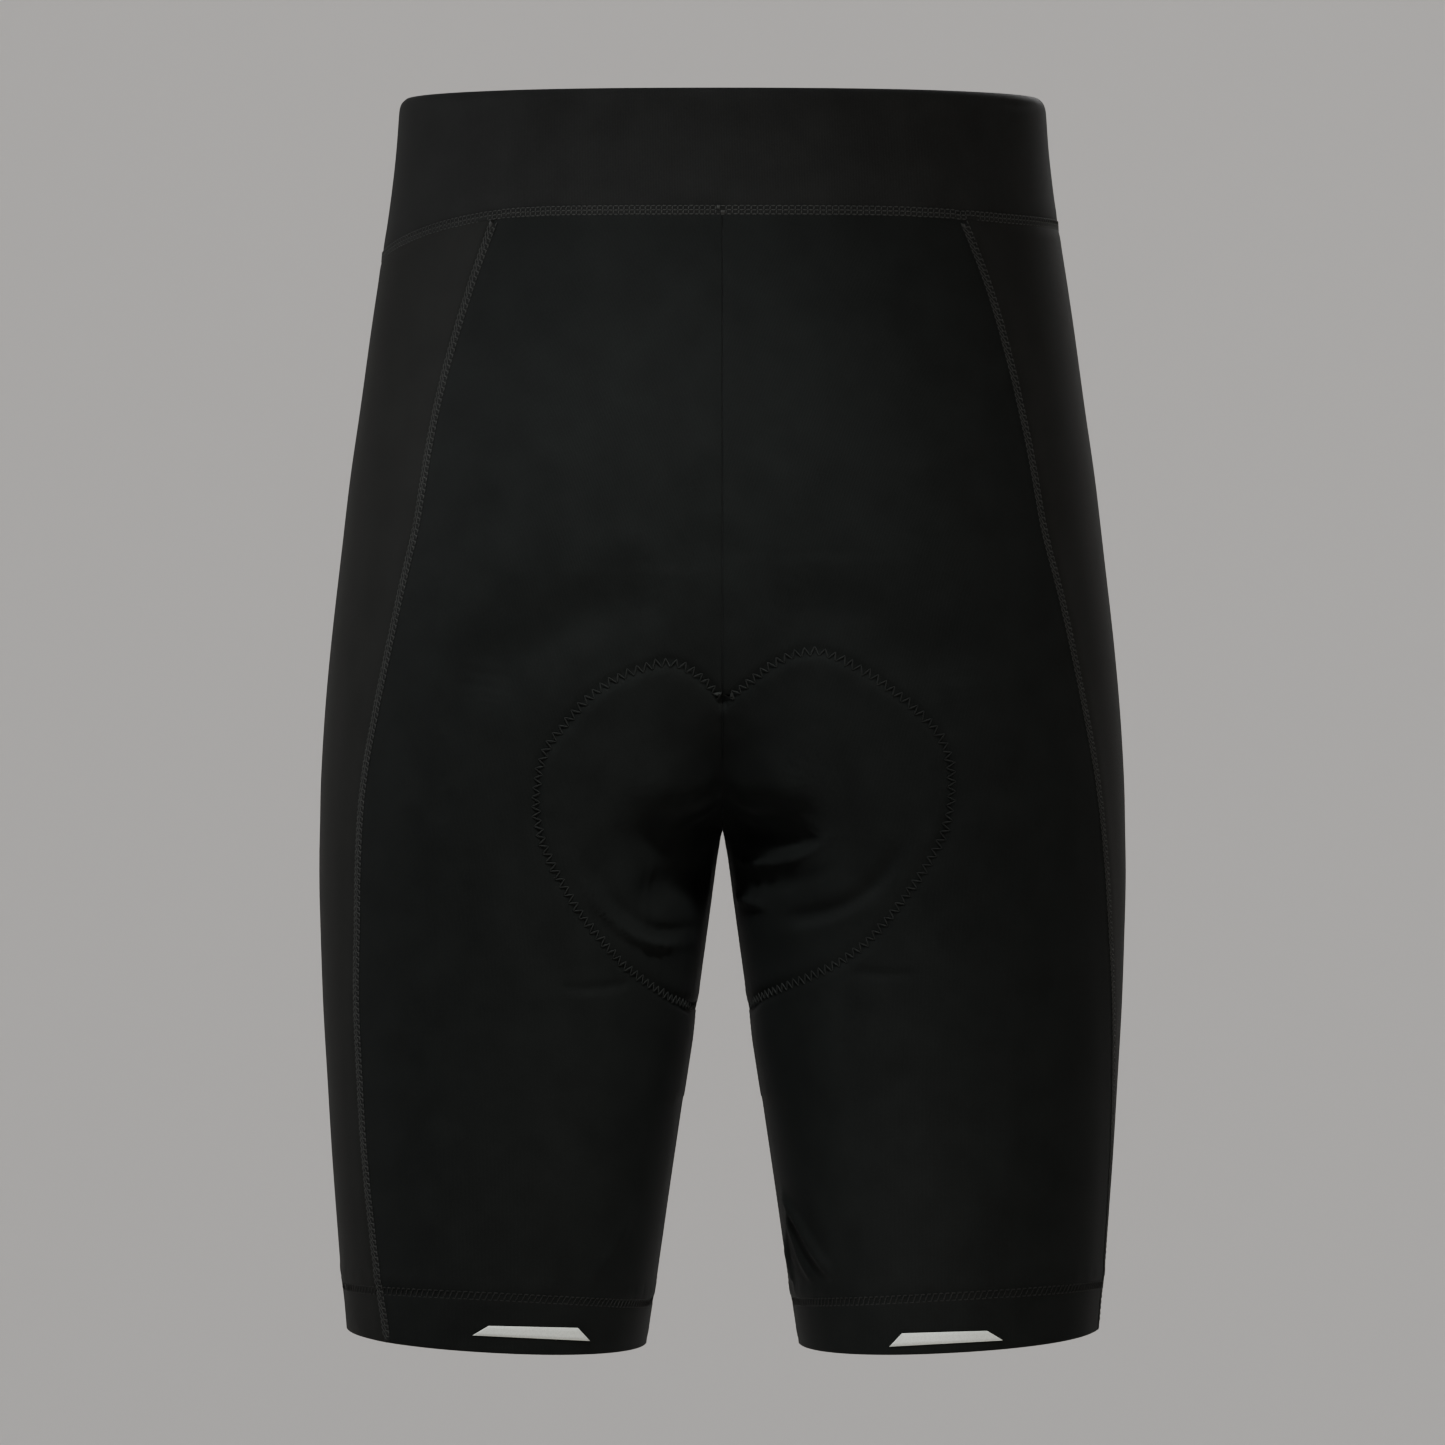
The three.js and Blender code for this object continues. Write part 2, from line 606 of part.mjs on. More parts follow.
// Places on one quarter of the pad, as height and cloth length from the centre seam or inseam.
function padQuarter(outline, fromFront) {
  const lengthAt = (z, share) => (fromFront ? 1 - share : share) * section(z).length;
  const tip = outline[0];
  const edge = outline.map(({ x, z }) => ({ reach: lengthAt(z, shareAt(x, z, fromFront)), z }));
  edge[0].reach = 0;
  edge.push({ reach: 0, z: PAD_FOOT_Z });
  const run = [0];
  for (let i = 1; i < edge.length; i += 1) {
    run.push(run[i - 1] + Math.hypot(edge[i].reach - edge[i - 1].reach, edge[i].z - edge[i - 1].z));
  }
  const table = edge.map((place, i) => ({ ...place, run: run[i] }));
  const total = run[run.length - 1];
  const rise = riseHeights(fromFront ? 1 : 0, tip.z);
  const rowCount = PAD_RISE_ROWS + PAD_THIGH_ROWS;
  const rows = [];
  for (let row = 0; row <= rowCount; row += 1) {
    const centreZ =
      row <= PAD_RISE_ROWS
        ? rise(1 - row / PAD_RISE_ROWS)
        : mix(CROTCH_Z, PAD_FOOT_Z, (row - PAD_RISE_ROWS) / PAD_THIGH_ROWS);
    const at = (total * row) / rowCount;
    const edgeZ = readTable(table, "run", "z", at);
    const edgeReach = readTable(table, "run", "reach", at);
    const places = [];
    for (let column = 0; column <= PAD_COLUMNS; column += 1) {
      const out = column / PAD_COLUMNS;
      const z = mix(centreZ, edgeZ, out);
      const share = (edgeReach * out) / section(z).length;
      places.push({ z, share: fromFront ? 1 - share : share });
    }
    rows.push(places);
  }
  return rows;
}

// The seat pad: four quarters, joined along the centre line and down the inside of each thigh.
function seatPad() {
  const quarters = [padQuarter(PAD_BACK, false), padQuarter(PAD_FRONT, true)];
  const outline = quarters.flatMap((rows) => rows.map((row) => row[PAD_COLUMNS]));
  const outlinePoints = outline.map(({ z, share }) => halfPoint(z, share));
  const triangles = [];
  for (const sign of [1, -1]) {
    quarters.forEach((rows, quarter) => {
      const layers = rows.map((row) =>
        row.map(({ z, share }) => {
          const point = halfPoint(z, share);
          const normal = halfNormal(z, share);
          const toEdge = Math.min(...outlinePoints.map((edge) => edge.distanceTo(point)));
          const thick = mix(PAD_EDGE, PAD_THICK, smooth(toEdge / PAD_BEVEL));
          const place = (inwards) => {
            const moved = point.clone().addScaledVector(normal, -inwards);
            return new THREE.Vector3(moved.x * sign, moved.y, moved.z);
          };
          const trough = foldHeight(point.x * sign, z, normal, PAD_SPREAD);
          const edge = PAD_CLEARANCE + PAD_FRONT_CLEARANCE * smooth(normal.y / FOLD_FADE);
          const outer = WALL + mix(edge, PAD_HOLLOW, smooth(toEdge / PAD_BEVEL)) - trough;
          return [place(outer), place(outer + thick)];
        }),
      );
      const turned = (sign < 0) !== (quarter === 1);
      const triangle = (a, b, c) => triangles.push(turned ? [a, c, b] : [a, b, c]);
      const quad = (a, b, c, d) => {
        triangle(a, b, c);
        triangle(a, c, d);
      };
      for (let r = 0; r < layers.length - 1; r += 1) {
        for (let c = 0; c < PAD_COLUMNS; c += 1) {
          const [a, b, d, e] = [layers[r][c], layers[r + 1][c], layers[r + 1][c + 1], layers[r][c + 1]];
          quad(a[0], b[0], d[0], e[0]);
          quad(a[1], e[1], d[1], b[1]);
        }
        const [top, foot] = [layers[r][PAD_COLUMNS], layers[r + 1][PAD_COLUMNS]];
        quad(top[0], foot[0], foot[1], top[1]);
      }
    });
  }
  return namedMesh("seat_pad", weld(triangles), cloth(PAD_FOAM, 0.9));
}

// One geometry from loose triangles: like points are shared and triangles without area dropped.
function weld(triangles) {
  const grain = 1e-3;
  const places = new Map();
  const position = [];
  const index = [];
  const number = (point) => {
    const key = [point.x, point.y, point.z].map((value) => Math.round(value / grain)).join();
    if (!places.has(key)) {
      places.set(key, places.size);
      position.push(point.x, point.y, point.z);
    }
    return places.get(key);
  };
  for (const corners of triangles) {
    const [a, b, c] = corners.map(number);
    if (a !== b && b !== c && c !== a) index.push(a, b, c);
  }
  const geometry = new THREE.BufferGeometry();
  geometry.setAttribute("position", new THREE.Float32BufferAttribute(position, 3));
  geometry.setIndex(index);
  geometry.computeVertexNormals();
  return geometry;
}

// A reflective film, made from the hem's own points moved out.
function reflectiveFilm(sideName) {
  const film = FILMS[sideName];
  const sign = SIDES[sideName];
  const outer = [];
  const inner = [];
  for (const level of [1, 0]) {
    const outside = [];
    const inside = [];
    for (let column = 0; column <= FILM_COLUMNS; column += 1) {
      const near = film.near + level * film.nearCut;
      const far = film.far - level * film.farCut;
      const reach = mix(near, far, column / FILM_COLUMNS);
      const nominal = section((HEM_INNER_Z + HEM_OUTER_Z) / 2).length;
      const z = hemEdge(reach / nominal) + film.above + level * FILM_HEIGHT;
      const share = reach / section(z).length;
      const point = halfPoint(z, share);
      const normal = halfNormal(z, share);
      const place = (outwards) => {
        const moved = point.clone().addScaledVector(normal, outwards - HEM_STEP);
        return new THREE.Vector3(moved.x * sign, moved.y, moved.z);
      };
      inside.push(place(FILM_CLEARANCE));
      outside.push(place(FILM_CLEARANCE + FILM_THICK));
    }
    outer.push(outside);
    inner.push(inside);
  }
  const material = new THREE.MeshStandardMaterial({
    color: REFLECTIVE_FILM,
    roughness: 0.35,
    metalness: 0.2,
  });
  return namedMesh(`reflective_film_${sideName}`, shell(outer, inner, sign < 0), material);
}

const shorts = new THREE.Group();
shorts.add(waistband());
for (const sideName of Object.keys(SIDES)) {
  const half = halfGrid(sideName);
  const rear = BACK_COLUMNS;
  const front = BACK_COLUMNS + SIDE_COLUMNS;
  shorts.add(panel(`back_${sideName}`, sideName, half, 0, rear, LYCRA));
  shorts.add(panel(`side_${sideName}`, sideName, half, rear, front, LYCRA_SIDE));
  shorts.add(panel(`front_${sideName}`, sideName, half, front, half.columns, LYCRA));
  shorts.add(reflectiveFilm(sideName));
}
shorts.add(seatPad());

export default shorts;
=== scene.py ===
# %% [markdown]
# # Cycling shorts in black stretch knit
# These are men's cycling shorts, filled out as on a body but with nobody in them.
# The CAD model gives every cut piece its place, so this file loads it first and then
# dresses each piece: smooth cloth, seams, thread, folds and film.

# %% Load the frame
import json
import math
import bmesh
import bpy
import numpy as np
from mathutils import Matrix, Vector
from mathutils.bvhtree import BVHTree

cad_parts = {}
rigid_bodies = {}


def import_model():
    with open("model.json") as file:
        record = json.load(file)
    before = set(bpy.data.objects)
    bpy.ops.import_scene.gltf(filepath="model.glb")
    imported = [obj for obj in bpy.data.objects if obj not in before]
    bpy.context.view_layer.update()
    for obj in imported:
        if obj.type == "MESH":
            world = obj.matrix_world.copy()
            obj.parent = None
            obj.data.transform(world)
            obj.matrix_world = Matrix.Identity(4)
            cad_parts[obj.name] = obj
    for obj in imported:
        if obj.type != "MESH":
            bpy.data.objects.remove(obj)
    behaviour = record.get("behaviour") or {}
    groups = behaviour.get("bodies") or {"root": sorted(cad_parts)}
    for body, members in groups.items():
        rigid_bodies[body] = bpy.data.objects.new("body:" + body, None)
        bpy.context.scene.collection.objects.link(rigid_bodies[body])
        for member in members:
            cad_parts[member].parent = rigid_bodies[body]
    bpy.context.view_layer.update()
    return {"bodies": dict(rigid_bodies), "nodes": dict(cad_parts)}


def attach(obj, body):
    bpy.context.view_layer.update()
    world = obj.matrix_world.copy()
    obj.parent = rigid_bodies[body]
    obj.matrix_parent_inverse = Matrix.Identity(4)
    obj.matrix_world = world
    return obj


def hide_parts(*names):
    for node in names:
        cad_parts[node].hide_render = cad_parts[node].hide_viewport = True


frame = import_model()
BODY = sorted(frame["bodies"])[0]
MM = 0.001

# %% [markdown]
# ## The camera
# A product photograph of this kind is taken from far away with a long lens, so that near
# and far parts keep the same size. The camera looks at the back of the shorts, almost level.
# It could be placed by eye; here its distance and lens come from the size of the picture.

# %% Make the camera
PHOTO_SIDE = 1445
PHOTO_WIDTH = 642.2 * MM
SENSOR = 36.0
EYE = Vector((0.0, -3.2, -0.186))
AIM = Vector((0.0, 0.0, -0.276))

camera_data = bpy.data.cameras.new("product_camera")
camera_data.sensor_width = SENSOR
camera_data.lens = SENSOR * (AIM - EYE).length / PHOTO_WIDTH
camera = bpy.data.objects.new("product_camera", camera_data)
bpy.context.collection.objects.link(camera)
camera.location = EYE
camera_turn = (AIM - EYE).to_track_quat("-Z", "Y")
camera.rotation_mode = "QUATERNION"
camera.rotation_quaternion = camera_turn
bpy.context.scene.camera = camera
print("lens", round(camera_data.lens, 1), "mm")

# %% [markdown]
# ## A plain pale studio
# The shorts hang in the middle of a wide bowl of pale paper: a level floor that curves up
# into a round wall, so no corner shows from any side. A flat floor and wall would meet at
# an edge. One profile with a rounded corner is spun round the middle to make the bowl.

# %% Make the paper bowl
def plain_material(name, colour, roughness):
    material = bpy.data.materials.new(name)
    material.use_nodes = True
    shader = material.node_tree.nodes["Principled BSDF"]
    shader.inputs["Base Color"].default_value = (*colour, 1.0)
    shader.inputs["Roughness"].default_value = roughness
    return material


FLOOR_Z, WALL_TOP, BOWL_REACH, BOWL_BEND = -1.9, 3.6, 7.0, 2.6
bowl_bm = bmesh.new()
profile = [bowl_bm.verts.new(place) for place in
           ((0, 0, FLOOR_Z), (BOWL_REACH, 0, FLOOR_Z), (BOWL_REACH, 0, WALL_TOP))]
bowl_bm.edges.new(profile[:2])
bowl_bm.edges.new(profile[1:])
bmesh.ops.bevel(bowl_bm, geom=[profile[1]], offset=BOWL_BEND, segments=24, profile=0.5,
                affect="VERTICES", material=-1)
bmesh.ops.spin(bowl_bm, geom=bowl_bm.edges[:] + bowl_bm.verts[:], axis=(0, 0, 1), cent=(0, 0, 0),
               angle=math.tau, steps=96, use_merge=True)
bmesh.ops.remove_doubles(bowl_bm, verts=bowl_bm.verts, dist=0.001)
bmesh.ops.recalc_face_normals(bowl_bm, faces=bowl_bm.faces)
bowl_mesh = bpy.data.meshes.new("paper_bowl")
bowl_bm.to_mesh(bowl_mesh)
bowl_bm.free()
bowl_mesh.shade_smooth()
bowl_mesh.materials.append(plain_material("pale_paper", (0.72, 0.70, 0.68), 0.9))
bowl = bpy.data.objects.new("paper_bowl", bowl_mesh)
bpy.context.collection.objects.link(bowl)
print("paper bowl", len(bowl_mesh.polygons), "faces")

# %% [markdown]
# Black cloth shows its form only where light falls unevenly. Three narrow pools of light
# pick out the upper back, the seat and the inside of one hem. Wide soft lights fill the rest
# and draw the sides. One more washes the paper wall behind, so the wall is pale while the
# cloth gets little light from all round. One big light alone would flatten every fold.

# %% Light it softly
POOL_SOFTNESS = 0.12
AIR_STRENGTH = 0.26


def lamp(name, kind, place, aim, power, colour):
    data = bpy.data.lights.new(name, kind)
    data.energy = power
    data.color = colour
    light = bpy.data.objects.new(name, data)
    light.location = place
    light.rotation_mode = "QUATERNION"
    light.rotation_quaternion = (Vector(aim) - Vector(place)).to_track_quat("-Z", "Y")
    bpy.context.collection.objects.link(light)
    return data


def soft_light(name, place, aim, size, power, colour=(1.0, 1.0, 1.0)):
    data = lamp(name, "AREA", place, aim, power, colour)
    data.shape = "DISK"
    data.size = size


def pool_light(name, place, aim, angle, power, colour):
    data = lamp(name, "SPOT", place, aim, power, colour)
    data.spot_size = math.radians(angle)
    data.spot_blend = 1.0
    data.shadow_soft_size = POOL_SOFTNESS


pool_light("upper_pool", (-0.6, -2.6, 0.6), (-0.04, -0.1, -0.07), 7.5, 75, (0.97, 0.99, 1.0))
pool_light("seat_pool", (-0.1, -1.7, 1.6), (-0.025, -0.1, -0.298), 7.5, 440, (0.97, 1.0, 0.99))
pool_light("hem_pool", (-0.6, -2.4, -0.5), (0.035, -0.1, -0.52), 5, 150, (1.0, 0.97, 0.92))
soft_light("key_softbox", (-0.8, -1.6, 2.0), (0, 0, -0.2), 1.1, 14, (0.97, 0.99, 1.0))
soft_light("low_fill", (0.1, -1.7, -1.7), (0, 0, -0.35), 0.8, 5, (1.0, 0.97, 0.9))
soft_light("left_edge_softbox", (-2.2, -0.3, 0.5), (0, 0, -0.25), 1.0, 24, (0.98, 0.99, 1.0))
soft_light("right_edge_softbox", (2.2, -1.6, 0.5), (0, 0, -0.2), 1.0, 11, (1.0, 0.9, 0.76))
soft_light("front_fill", (1.1, 2.6, 1.4), (0, 0, -0.25), 1.6, 45)
soft_light("backdrop_wash", (0.0, 1.4, 3.0), (0.3, 7.0, 0.0), 2.0, 125)
world = bpy.data.worlds.new("studio_air")
world.use_nodes = True
air = world.node_tree.nodes["Background"]
air.inputs["Color"].default_value = (0.97, 0.98, 1.0, 1.0)
air.inputs["Strength"].default_value = AIR_STRENGTH
bpy.context.scene.world = world


# %% [markdown]
# ## Shared surface effects
# Stretch knit is a net of tiny loops, and its dye is never quite even. Both effects are
# used by several cloths, so each is a node group, made once and placed in every material
# with its own numbers. A picture of cloth could be used, but nodes stay sharp at any size.

# %% Helpers that wire up nodes
def group_of(name, inputs, outputs):
    group = bpy.data.node_groups.new(name, "ShaderNodeTree")
    for label, kind, value in inputs:
        socket = group.interface.new_socket(name=label, in_out="INPUT", socket_type=kind)
        if value is not None:
            socket.default_value = value
    for label in outputs:
        group.interface.new_socket(name=label, in_out="OUTPUT", socket_type="NodeSocketFloat")
    return group, group.nodes.new("NodeGroupInput"), group.nodes.new("NodeGroupOutput")


def connect(tree, value, socket):
    if isinstance(value, bpy.types.NodeSocket):
        tree.links.new(value, socket)
    else:
        socket.default_value = value


def maths(tree, operation, first, second=0.0, third=0.0):
    node = tree.nodes.new("ShaderNodeMath")
    node.operation = operation
    for value, socket in zip((first, second, third), node.inputs):
        connect(tree, value, socket)
    return node.outputs[0]


# %% The knit: columns of loops along the cloth
LOOP_SLANT = 0.9
VALLEY_PAINTED_SHADE, LOOP_PAINTED_LIGHT = 0.83, 1.17

knit, knit_in, knit_out = group_of(
    "fine_knit",
    [("Vector", "NodeSocketVector", None), ("Column width", "NodeSocketFloat", 0.0006),
     ("Row height", "NodeSocketFloat", 0.0005)],
    ["Height", "Shade"])
split = knit.nodes.new("ShaderNodeSeparateXYZ")
knit.links.new(knit_in.outputs["Vector"], split.inputs[0])
columns = maths(knit, "DIVIDE", split.outputs[0], knit_in.outputs["Column width"])
rows = maths(knit, "DIVIDE", split.outputs[1], knit_in.outputs["Row height"])
turn_u = maths(knit, "MULTIPLY", columns, math.tau)
turn_v = maths(knit, "MULTIPLY", rows, math.tau)
column = maths(knit, "MULTIPLY_ADD", maths(knit, "COSINE", turn_u), 0.5, 0.5)
slant = maths(knit, "MULTIPLY", maths(knit, "SINE", turn_u), LOOP_SLANT)
loop = maths(knit, "MULTIPLY_ADD", maths(knit, "SINE", maths(knit, "ADD", turn_v, slant)), 0.5, 0.5)
height = maths(knit, "MULTIPLY", column, maths(knit, "MULTIPLY_ADD", loop, 0.6, 0.4))
knit.links.new(height, knit_out.inputs["Height"])
# The loop tops are painted lighter and the valleys between them darker: painted light and painted
# shade on the loops.
shade = maths(knit, "MULTIPLY_ADD", height, LOOP_PAINTED_LIGHT - VALLEY_PAINTED_SHADE, VALLEY_PAINTED_SHADE)
knit.links.new(shade, knit_out.inputs["Shade"])
print("knit group", len(knit.nodes), "nodes")

# %% The dye: faint cloudy patches, and a finer grain of the yarn
dye, dye_in, dye_out = group_of(
    "uneven_dye",
    [("Vector", "NodeSocketVector", None), ("Patch scale", "NodeSocketFloat", 60.0),
     ("Grain scale", "NodeSocketFloat", 1400.0), ("Amount", "NodeSocketFloat", 0.2)],
    ["Shade", "Grain"])


def noise(tree, vector, scale, detail):
    node = tree.nodes.new("ShaderNodeTexNoise")
    node.noise_dimensions = "3D"
    connect(tree, vector, node.inputs["Vector"])
    connect(tree, scale, node.inputs["Scale"])
    node.inputs["Detail"].default_value = detail
    return node.outputs["Fac"]


patches = noise(dye, dye_in.outputs["Vector"], dye_in.outputs["Patch scale"], 3.0)
grain = noise(dye, dye_in.outputs["Vector"], dye_in.outputs["Grain scale"], 2.0)
both = maths(dye, "MULTIPLY_ADD", grain, 0.5, maths(dye, "MULTIPLY", patches, 0.5))
swing = maths(dye, "MULTIPLY", maths(dye, "SUBTRACT", both, 0.5), dye_in.outputs["Amount"])
dye.links.new(maths(dye, "MULTIPLY_ADD", swing, 2.0, 1.0), dye_out.inputs["Shade"])
dye.links.new(grain, dye_out.inputs["Grain"])
print("dye group", len(dye.nodes), "nodes")


# %% [markdown]
# ## The cloths
# The body is a matt-and-satin polyester stretch knit, the waistband a denser one. The same
# recipe makes them all: a dark colour shaded by knit and dye, a low bump of loops, and a
# little sheen for the fibre ends that catch light at the rim. The sheen sits on the shader
# itself.

# %% Recipe for a cloth
CLOTH_SPECULAR = 0.05
SHEEN_SPREAD = 0.45
SHEEN_TINT = (0.92, 0.96, 1.0, 1.0)
LOOP_DEPTH = 0.12 * MM
DYE_ON_GLOSS = 0.12


def cloth_material(name, colour, roughness, sheen, column_width, row_height, amount, bump=0.35):
    material = bpy.data.materials.new(name)
    material.use_nodes = True
    tree = material.node_tree
    shader = tree.nodes["Principled BSDF"]
    place = tree.nodes.new("ShaderNodeTexCoord")
    loops = tree.nodes.new("ShaderNodeGroup")
    loops.node_tree = knit
    tree.links.new(place.outputs["UV"], loops.inputs["Vector"])
    loops.inputs["Column width"].default_value = column_width
    loops.inputs["Row height"].default_value = row_height
    clouds = tree.nodes.new("ShaderNodeGroup")
    clouds.node_tree = dye
    tree.links.new(place.outputs["Object"], clouds.inputs["Vector"])
    clouds.inputs["Amount"].default_value = amount
    # The knit's shade is painted shade between the loops and painted light on their tops; the dye's
    # shade is random tone.
    shade = maths(tree, "MULTIPLY", loops.outputs["Shade"], clouds.outputs["Shade"])
    tint = tree.nodes.new("ShaderNodeMix")
    tint.data_type = "RGBA"
    tint.blend_type = "MULTIPLY"
    tint.inputs["Factor"].default_value = 1.0
    tint.inputs["A"].default_value = (*colour, 1.0)
    tree.links.new(shade, tint.inputs["B"])
    tree.links.new(tint.outputs["Result"], shader.inputs["Base Color"])
    dullness = maths(tree, "MULTIPLY_ADD", clouds.outputs["Shade"], DYE_ON_GLOSS,
                     roughness - DYE_ON_GLOSS)
    tree.links.new(dullness, shader.inputs["Roughness"])
    relief = tree.nodes.new("ShaderNodeBump")
    relief.inputs["Strength"].default_value = bump
    relief.inputs["Distance"].default_value = LOOP_DEPTH
    tree.links.new(loops.outputs["Height"], relief.inputs["Height"])
    tree.links.new(relief.outputs["Normal"], shader.inputs["Normal"])
    shader.inputs["Specular IOR Level"].default_value = CLOTH_SPECULAR
    shader.inputs["Sheen Weight"].default_value = sheen
    shader.inputs["Sheen Roughness"].default_value = SHEEN_SPREAD
    shader.inputs["Sheen Tint"].default_value = SHEEN_TINT
    return material


# %% Mix the three cloths
BODY_COLOUR = (0.0086, 0.0096, 0.0092)
# The side panels are the body's knit; their lighter colour is painted light for the light falling on
# the sides.
SIDE_PAINTED_LIGHT_COLOUR = (0.0124, 0.0127, 0.0119)
# The waistband is a denser knit; its colour is lighter than the body's as painted light for the light
# on its sides.
BAND_PAINTED_LIGHT_COLOUR = (0.0138, 0.0142, 0.0138)
LOOP = (0.6 * MM, 0.5 * MM)
BAND_LOOP = (0.7 * MM, 0.45 * MM)
DYE_AMOUNT = 0.6
body_cloth = cloth_material("black_stretch_knit", BODY_COLOUR, 0.6, 0.01, *LOOP, DYE_AMOUNT)
side_cloth_painted_light = cloth_material("side_panel_knit_painted_light", SIDE_PAINTED_LIGHT_COLOUR, 0.6, 0.005, *LOOP, DYE_AMOUNT)
band_cloth = cloth_material("waistband_knit", BAND_PAINTED_LIGHT_COLOUR, 0.66, 0.01, *BAND_LOOP, DYE_AMOUNT)
print("cloths", [cloth.name for cloth in (body_cloth, side_cloth_painted_light, band_cloth)])


# %% [markdown]
# ## Cloth from the CAD solids
# Each CAD panel is a closed wall of cloth made of flat triangles. Only its outer face is
# taken: the walk below starts on any face and crosses every edge that isn't sharp, so it
# stops at the rim. The triangles are joined to squares again, because a subdivision
# surface rounds squares far better.

# %% Load a solid and join its triangles
WELD = 0.01 * MM


def load_solid(name):
    bm = bmesh.new()
    bm.from_mesh(frame["nodes"][name].data)
    bmesh.ops.remove_doubles(bm, verts=bm.verts, dist=WELD)
    return bm


def join_to_squares(bm, degrees):
    bmesh.ops.join_triangles(bm, faces=bm.faces, angle_face_threshold=math.radians(degrees),
                             angle_shape_threshold=math.radians(degrees))


# %% Take the outer face of a panel
CENTRE_RIM = 0.2 * MM
PANEL_JOIN = 60


def outer_face(name, sharp):
    bm = load_solid(name)
    rim = [face for face in bm.faces if all(abs(vert.co.x) < CENTRE_RIM for vert in face.verts)]
    bmesh.ops.delete(bm, geom=rim, context="FACES")
    unseen = set(bm.faces)
    largest, largest_area = [], 0.0
    while unseen:
        patch = [unseen.pop()]
        for face in patch:
            for edge in face.edges:
                if edge.calc_face_angle(0.0) > sharp:
                    continue
                found = [other for other in edge.link_faces if other in unseen]
                unseen.difference_update(found)
                patch.extend(found)
        area = sum(face.calc_area() for face in patch)
        if area > largest_area:
            largest, largest_area = patch, area
    keep = set(largest)
    bmesh.ops.delete(bm, geom=[face for face in bm.faces if face not in keep], context="FACES")
    triangles = len(bm.faces)
    join_to_squares(bm, PANEL_JOIN)
    odd = sum(len(face.verts) == 3 for face in bm.faces)
    print(name, triangles, "triangles joined to", len(bm.faces), "faces, of which", odd, "odd")
    return bm


def add_object(name, bm):
    mesh = bpy.data.meshes.new(name)
    bm.to_mesh(mesh)
    bm.free()
    mesh.shade_smooth()
    obj = bpy.data.objects.new(name, mesh)
    bpy.context.collection.objects.link(obj)
    return obj


# %% [markdown]
# A knit runs along each cut piece, so its pattern has to follow the cloth. The panel is
# laid flat by Blender's own unwrapping, as a pattern maker would, then scaled to metres
# and turned so that up on the body is up in the pattern. Its flat size is also the size
# of the piece to cut.

# %% Lay a panel flat
SEAM_NEAR = 0.5 * MM


def lay_flat(obj, seam_side=None):
    bpy.context.view_layer.objects.active = obj
    obj.select_set(True)
    mesh = obj.data
    if seam_side is not None:
        for edge in mesh.edges:
            ends = [mesh.vertices[i].co for i in edge.vertices]
            edge.use_seam = all(abs(end.x) < SEAM_NEAR and end.y * seam_side > 0 for end in ends)
    bpy.ops.object.mode_set(mode="EDIT")
    bpy.ops.mesh.select_all(action="SELECT")
    bpy.ops.uv.unwrap(method="ANGLE_BASED", margin=0.0)
    bpy.ops.object.mode_set(mode="OBJECT")
    obj.select_set(False)
    uv = np.zeros(len(mesh.loops) * 2)
    mesh.uv_layers.active.data.foreach_get("uv", uv)
    uv = uv.reshape(-1, 2)
    corners = np.zeros(len(mesh.loops), dtype=int)
    mesh.loops.foreach_get("vertex_index", corners)
    places = np.zeros(len(mesh.vertices) * 3)
    mesh.vertices.foreach_get("co", places)
    places = places.reshape(-1, 3)[corners]
    flat_area = 0.0
    for face in mesh.polygons:
        ring = uv[face.loop_start:face.loop_start + face.loop_total]
        after = np.roll(ring, -1, axis=0)
        flat_area += abs(np.sum(ring[:, 0] * after[:, 1] - after[:, 0] * ring[:, 1])) / 2
    real_area = sum(face.area for face in mesh.polygons)
    uv *= math.sqrt(real_area / flat_area)
    level = np.column_stack([uv, np.ones(len(uv))])
    rise = np.linalg.lstsq(level, places[:, 2], rcond=None)[0][:2]
    up = rise / np.linalg.norm(rise)
    turned = np.column_stack([uv @ (up[1], -up[0]), uv @ up])
    turned -= turned.min(axis=0)
    mesh.uv_layers.active.data.foreach_set("uv", turned.ravel())
    size = turned.max(axis=0)
    obj["flat_width"], obj["flat_length"], obj["flat_area"] = size[0], size[1], real_area
    print(obj.name, "flat", np.round(size * 1000).astype(int), "mm, area", round(real_area, 4), "m2")


# %% Round a panel off
def rounded(obj, levels):
    modifier = obj.modifiers.new("rounding", "SUBSURF")
    modifier.levels = modifier.render_levels = levels
    modifier.boundary_smooth = "PRESERVE_CORNERS"
    graph = bpy.context.evaluated_depsgraph_get()
    mesh = bpy.data.meshes.new_from_object(obj.evaluated_get(graph), depsgraph=graph)
    obj.modifiers.clear()
    obj.data = mesh
    mesh.name = obj.name
    mesh.shade_smooth()


PANEL_SHARP, BAND_SHARP = math.radians(60), math.radians(32)
PANELS = {
    "back_left": 3, "back_right": 3, "side_left": 3, "side_right": 3,
    "front_left": 2, "front_right": 2, "waistband": 2,
}
cloths = {}
for node, levels in PANELS.items():
    is_band = node == "waistband"
    sheet = add_object(node + "_cloth", outer_face(node, BAND_SHARP if is_band else PANEL_SHARP))
    lay_flat(sheet, seam_side=1 if is_band else None)
    rounded(sheet, levels)
    cloths[node] = sheet
    print(node, len(sheet.data.polygons), "faces after rounding")


# %% [markdown]
# ## Where things lie on the cloth
# Seams, stitches and folds all follow the cloth, so each needs its place on it. A ray from
# the camera through a point of the picture finds the place on the back. Straight rays from
# the front do the same for the hidden side. The edges of the panels give the seams.

# %% Rays onto the cloth
def cloth_tree():
    points, faces = [], []
    for obj in cloths.values():
        start = len(points)
        points.extend(vertex.co.copy() for vertex in obj.data.vertices)
        faces.extend([start + i for i in face.vertices] for face in obj.data.polygons)
    return BVHTree.FromPolygons(points, faces)


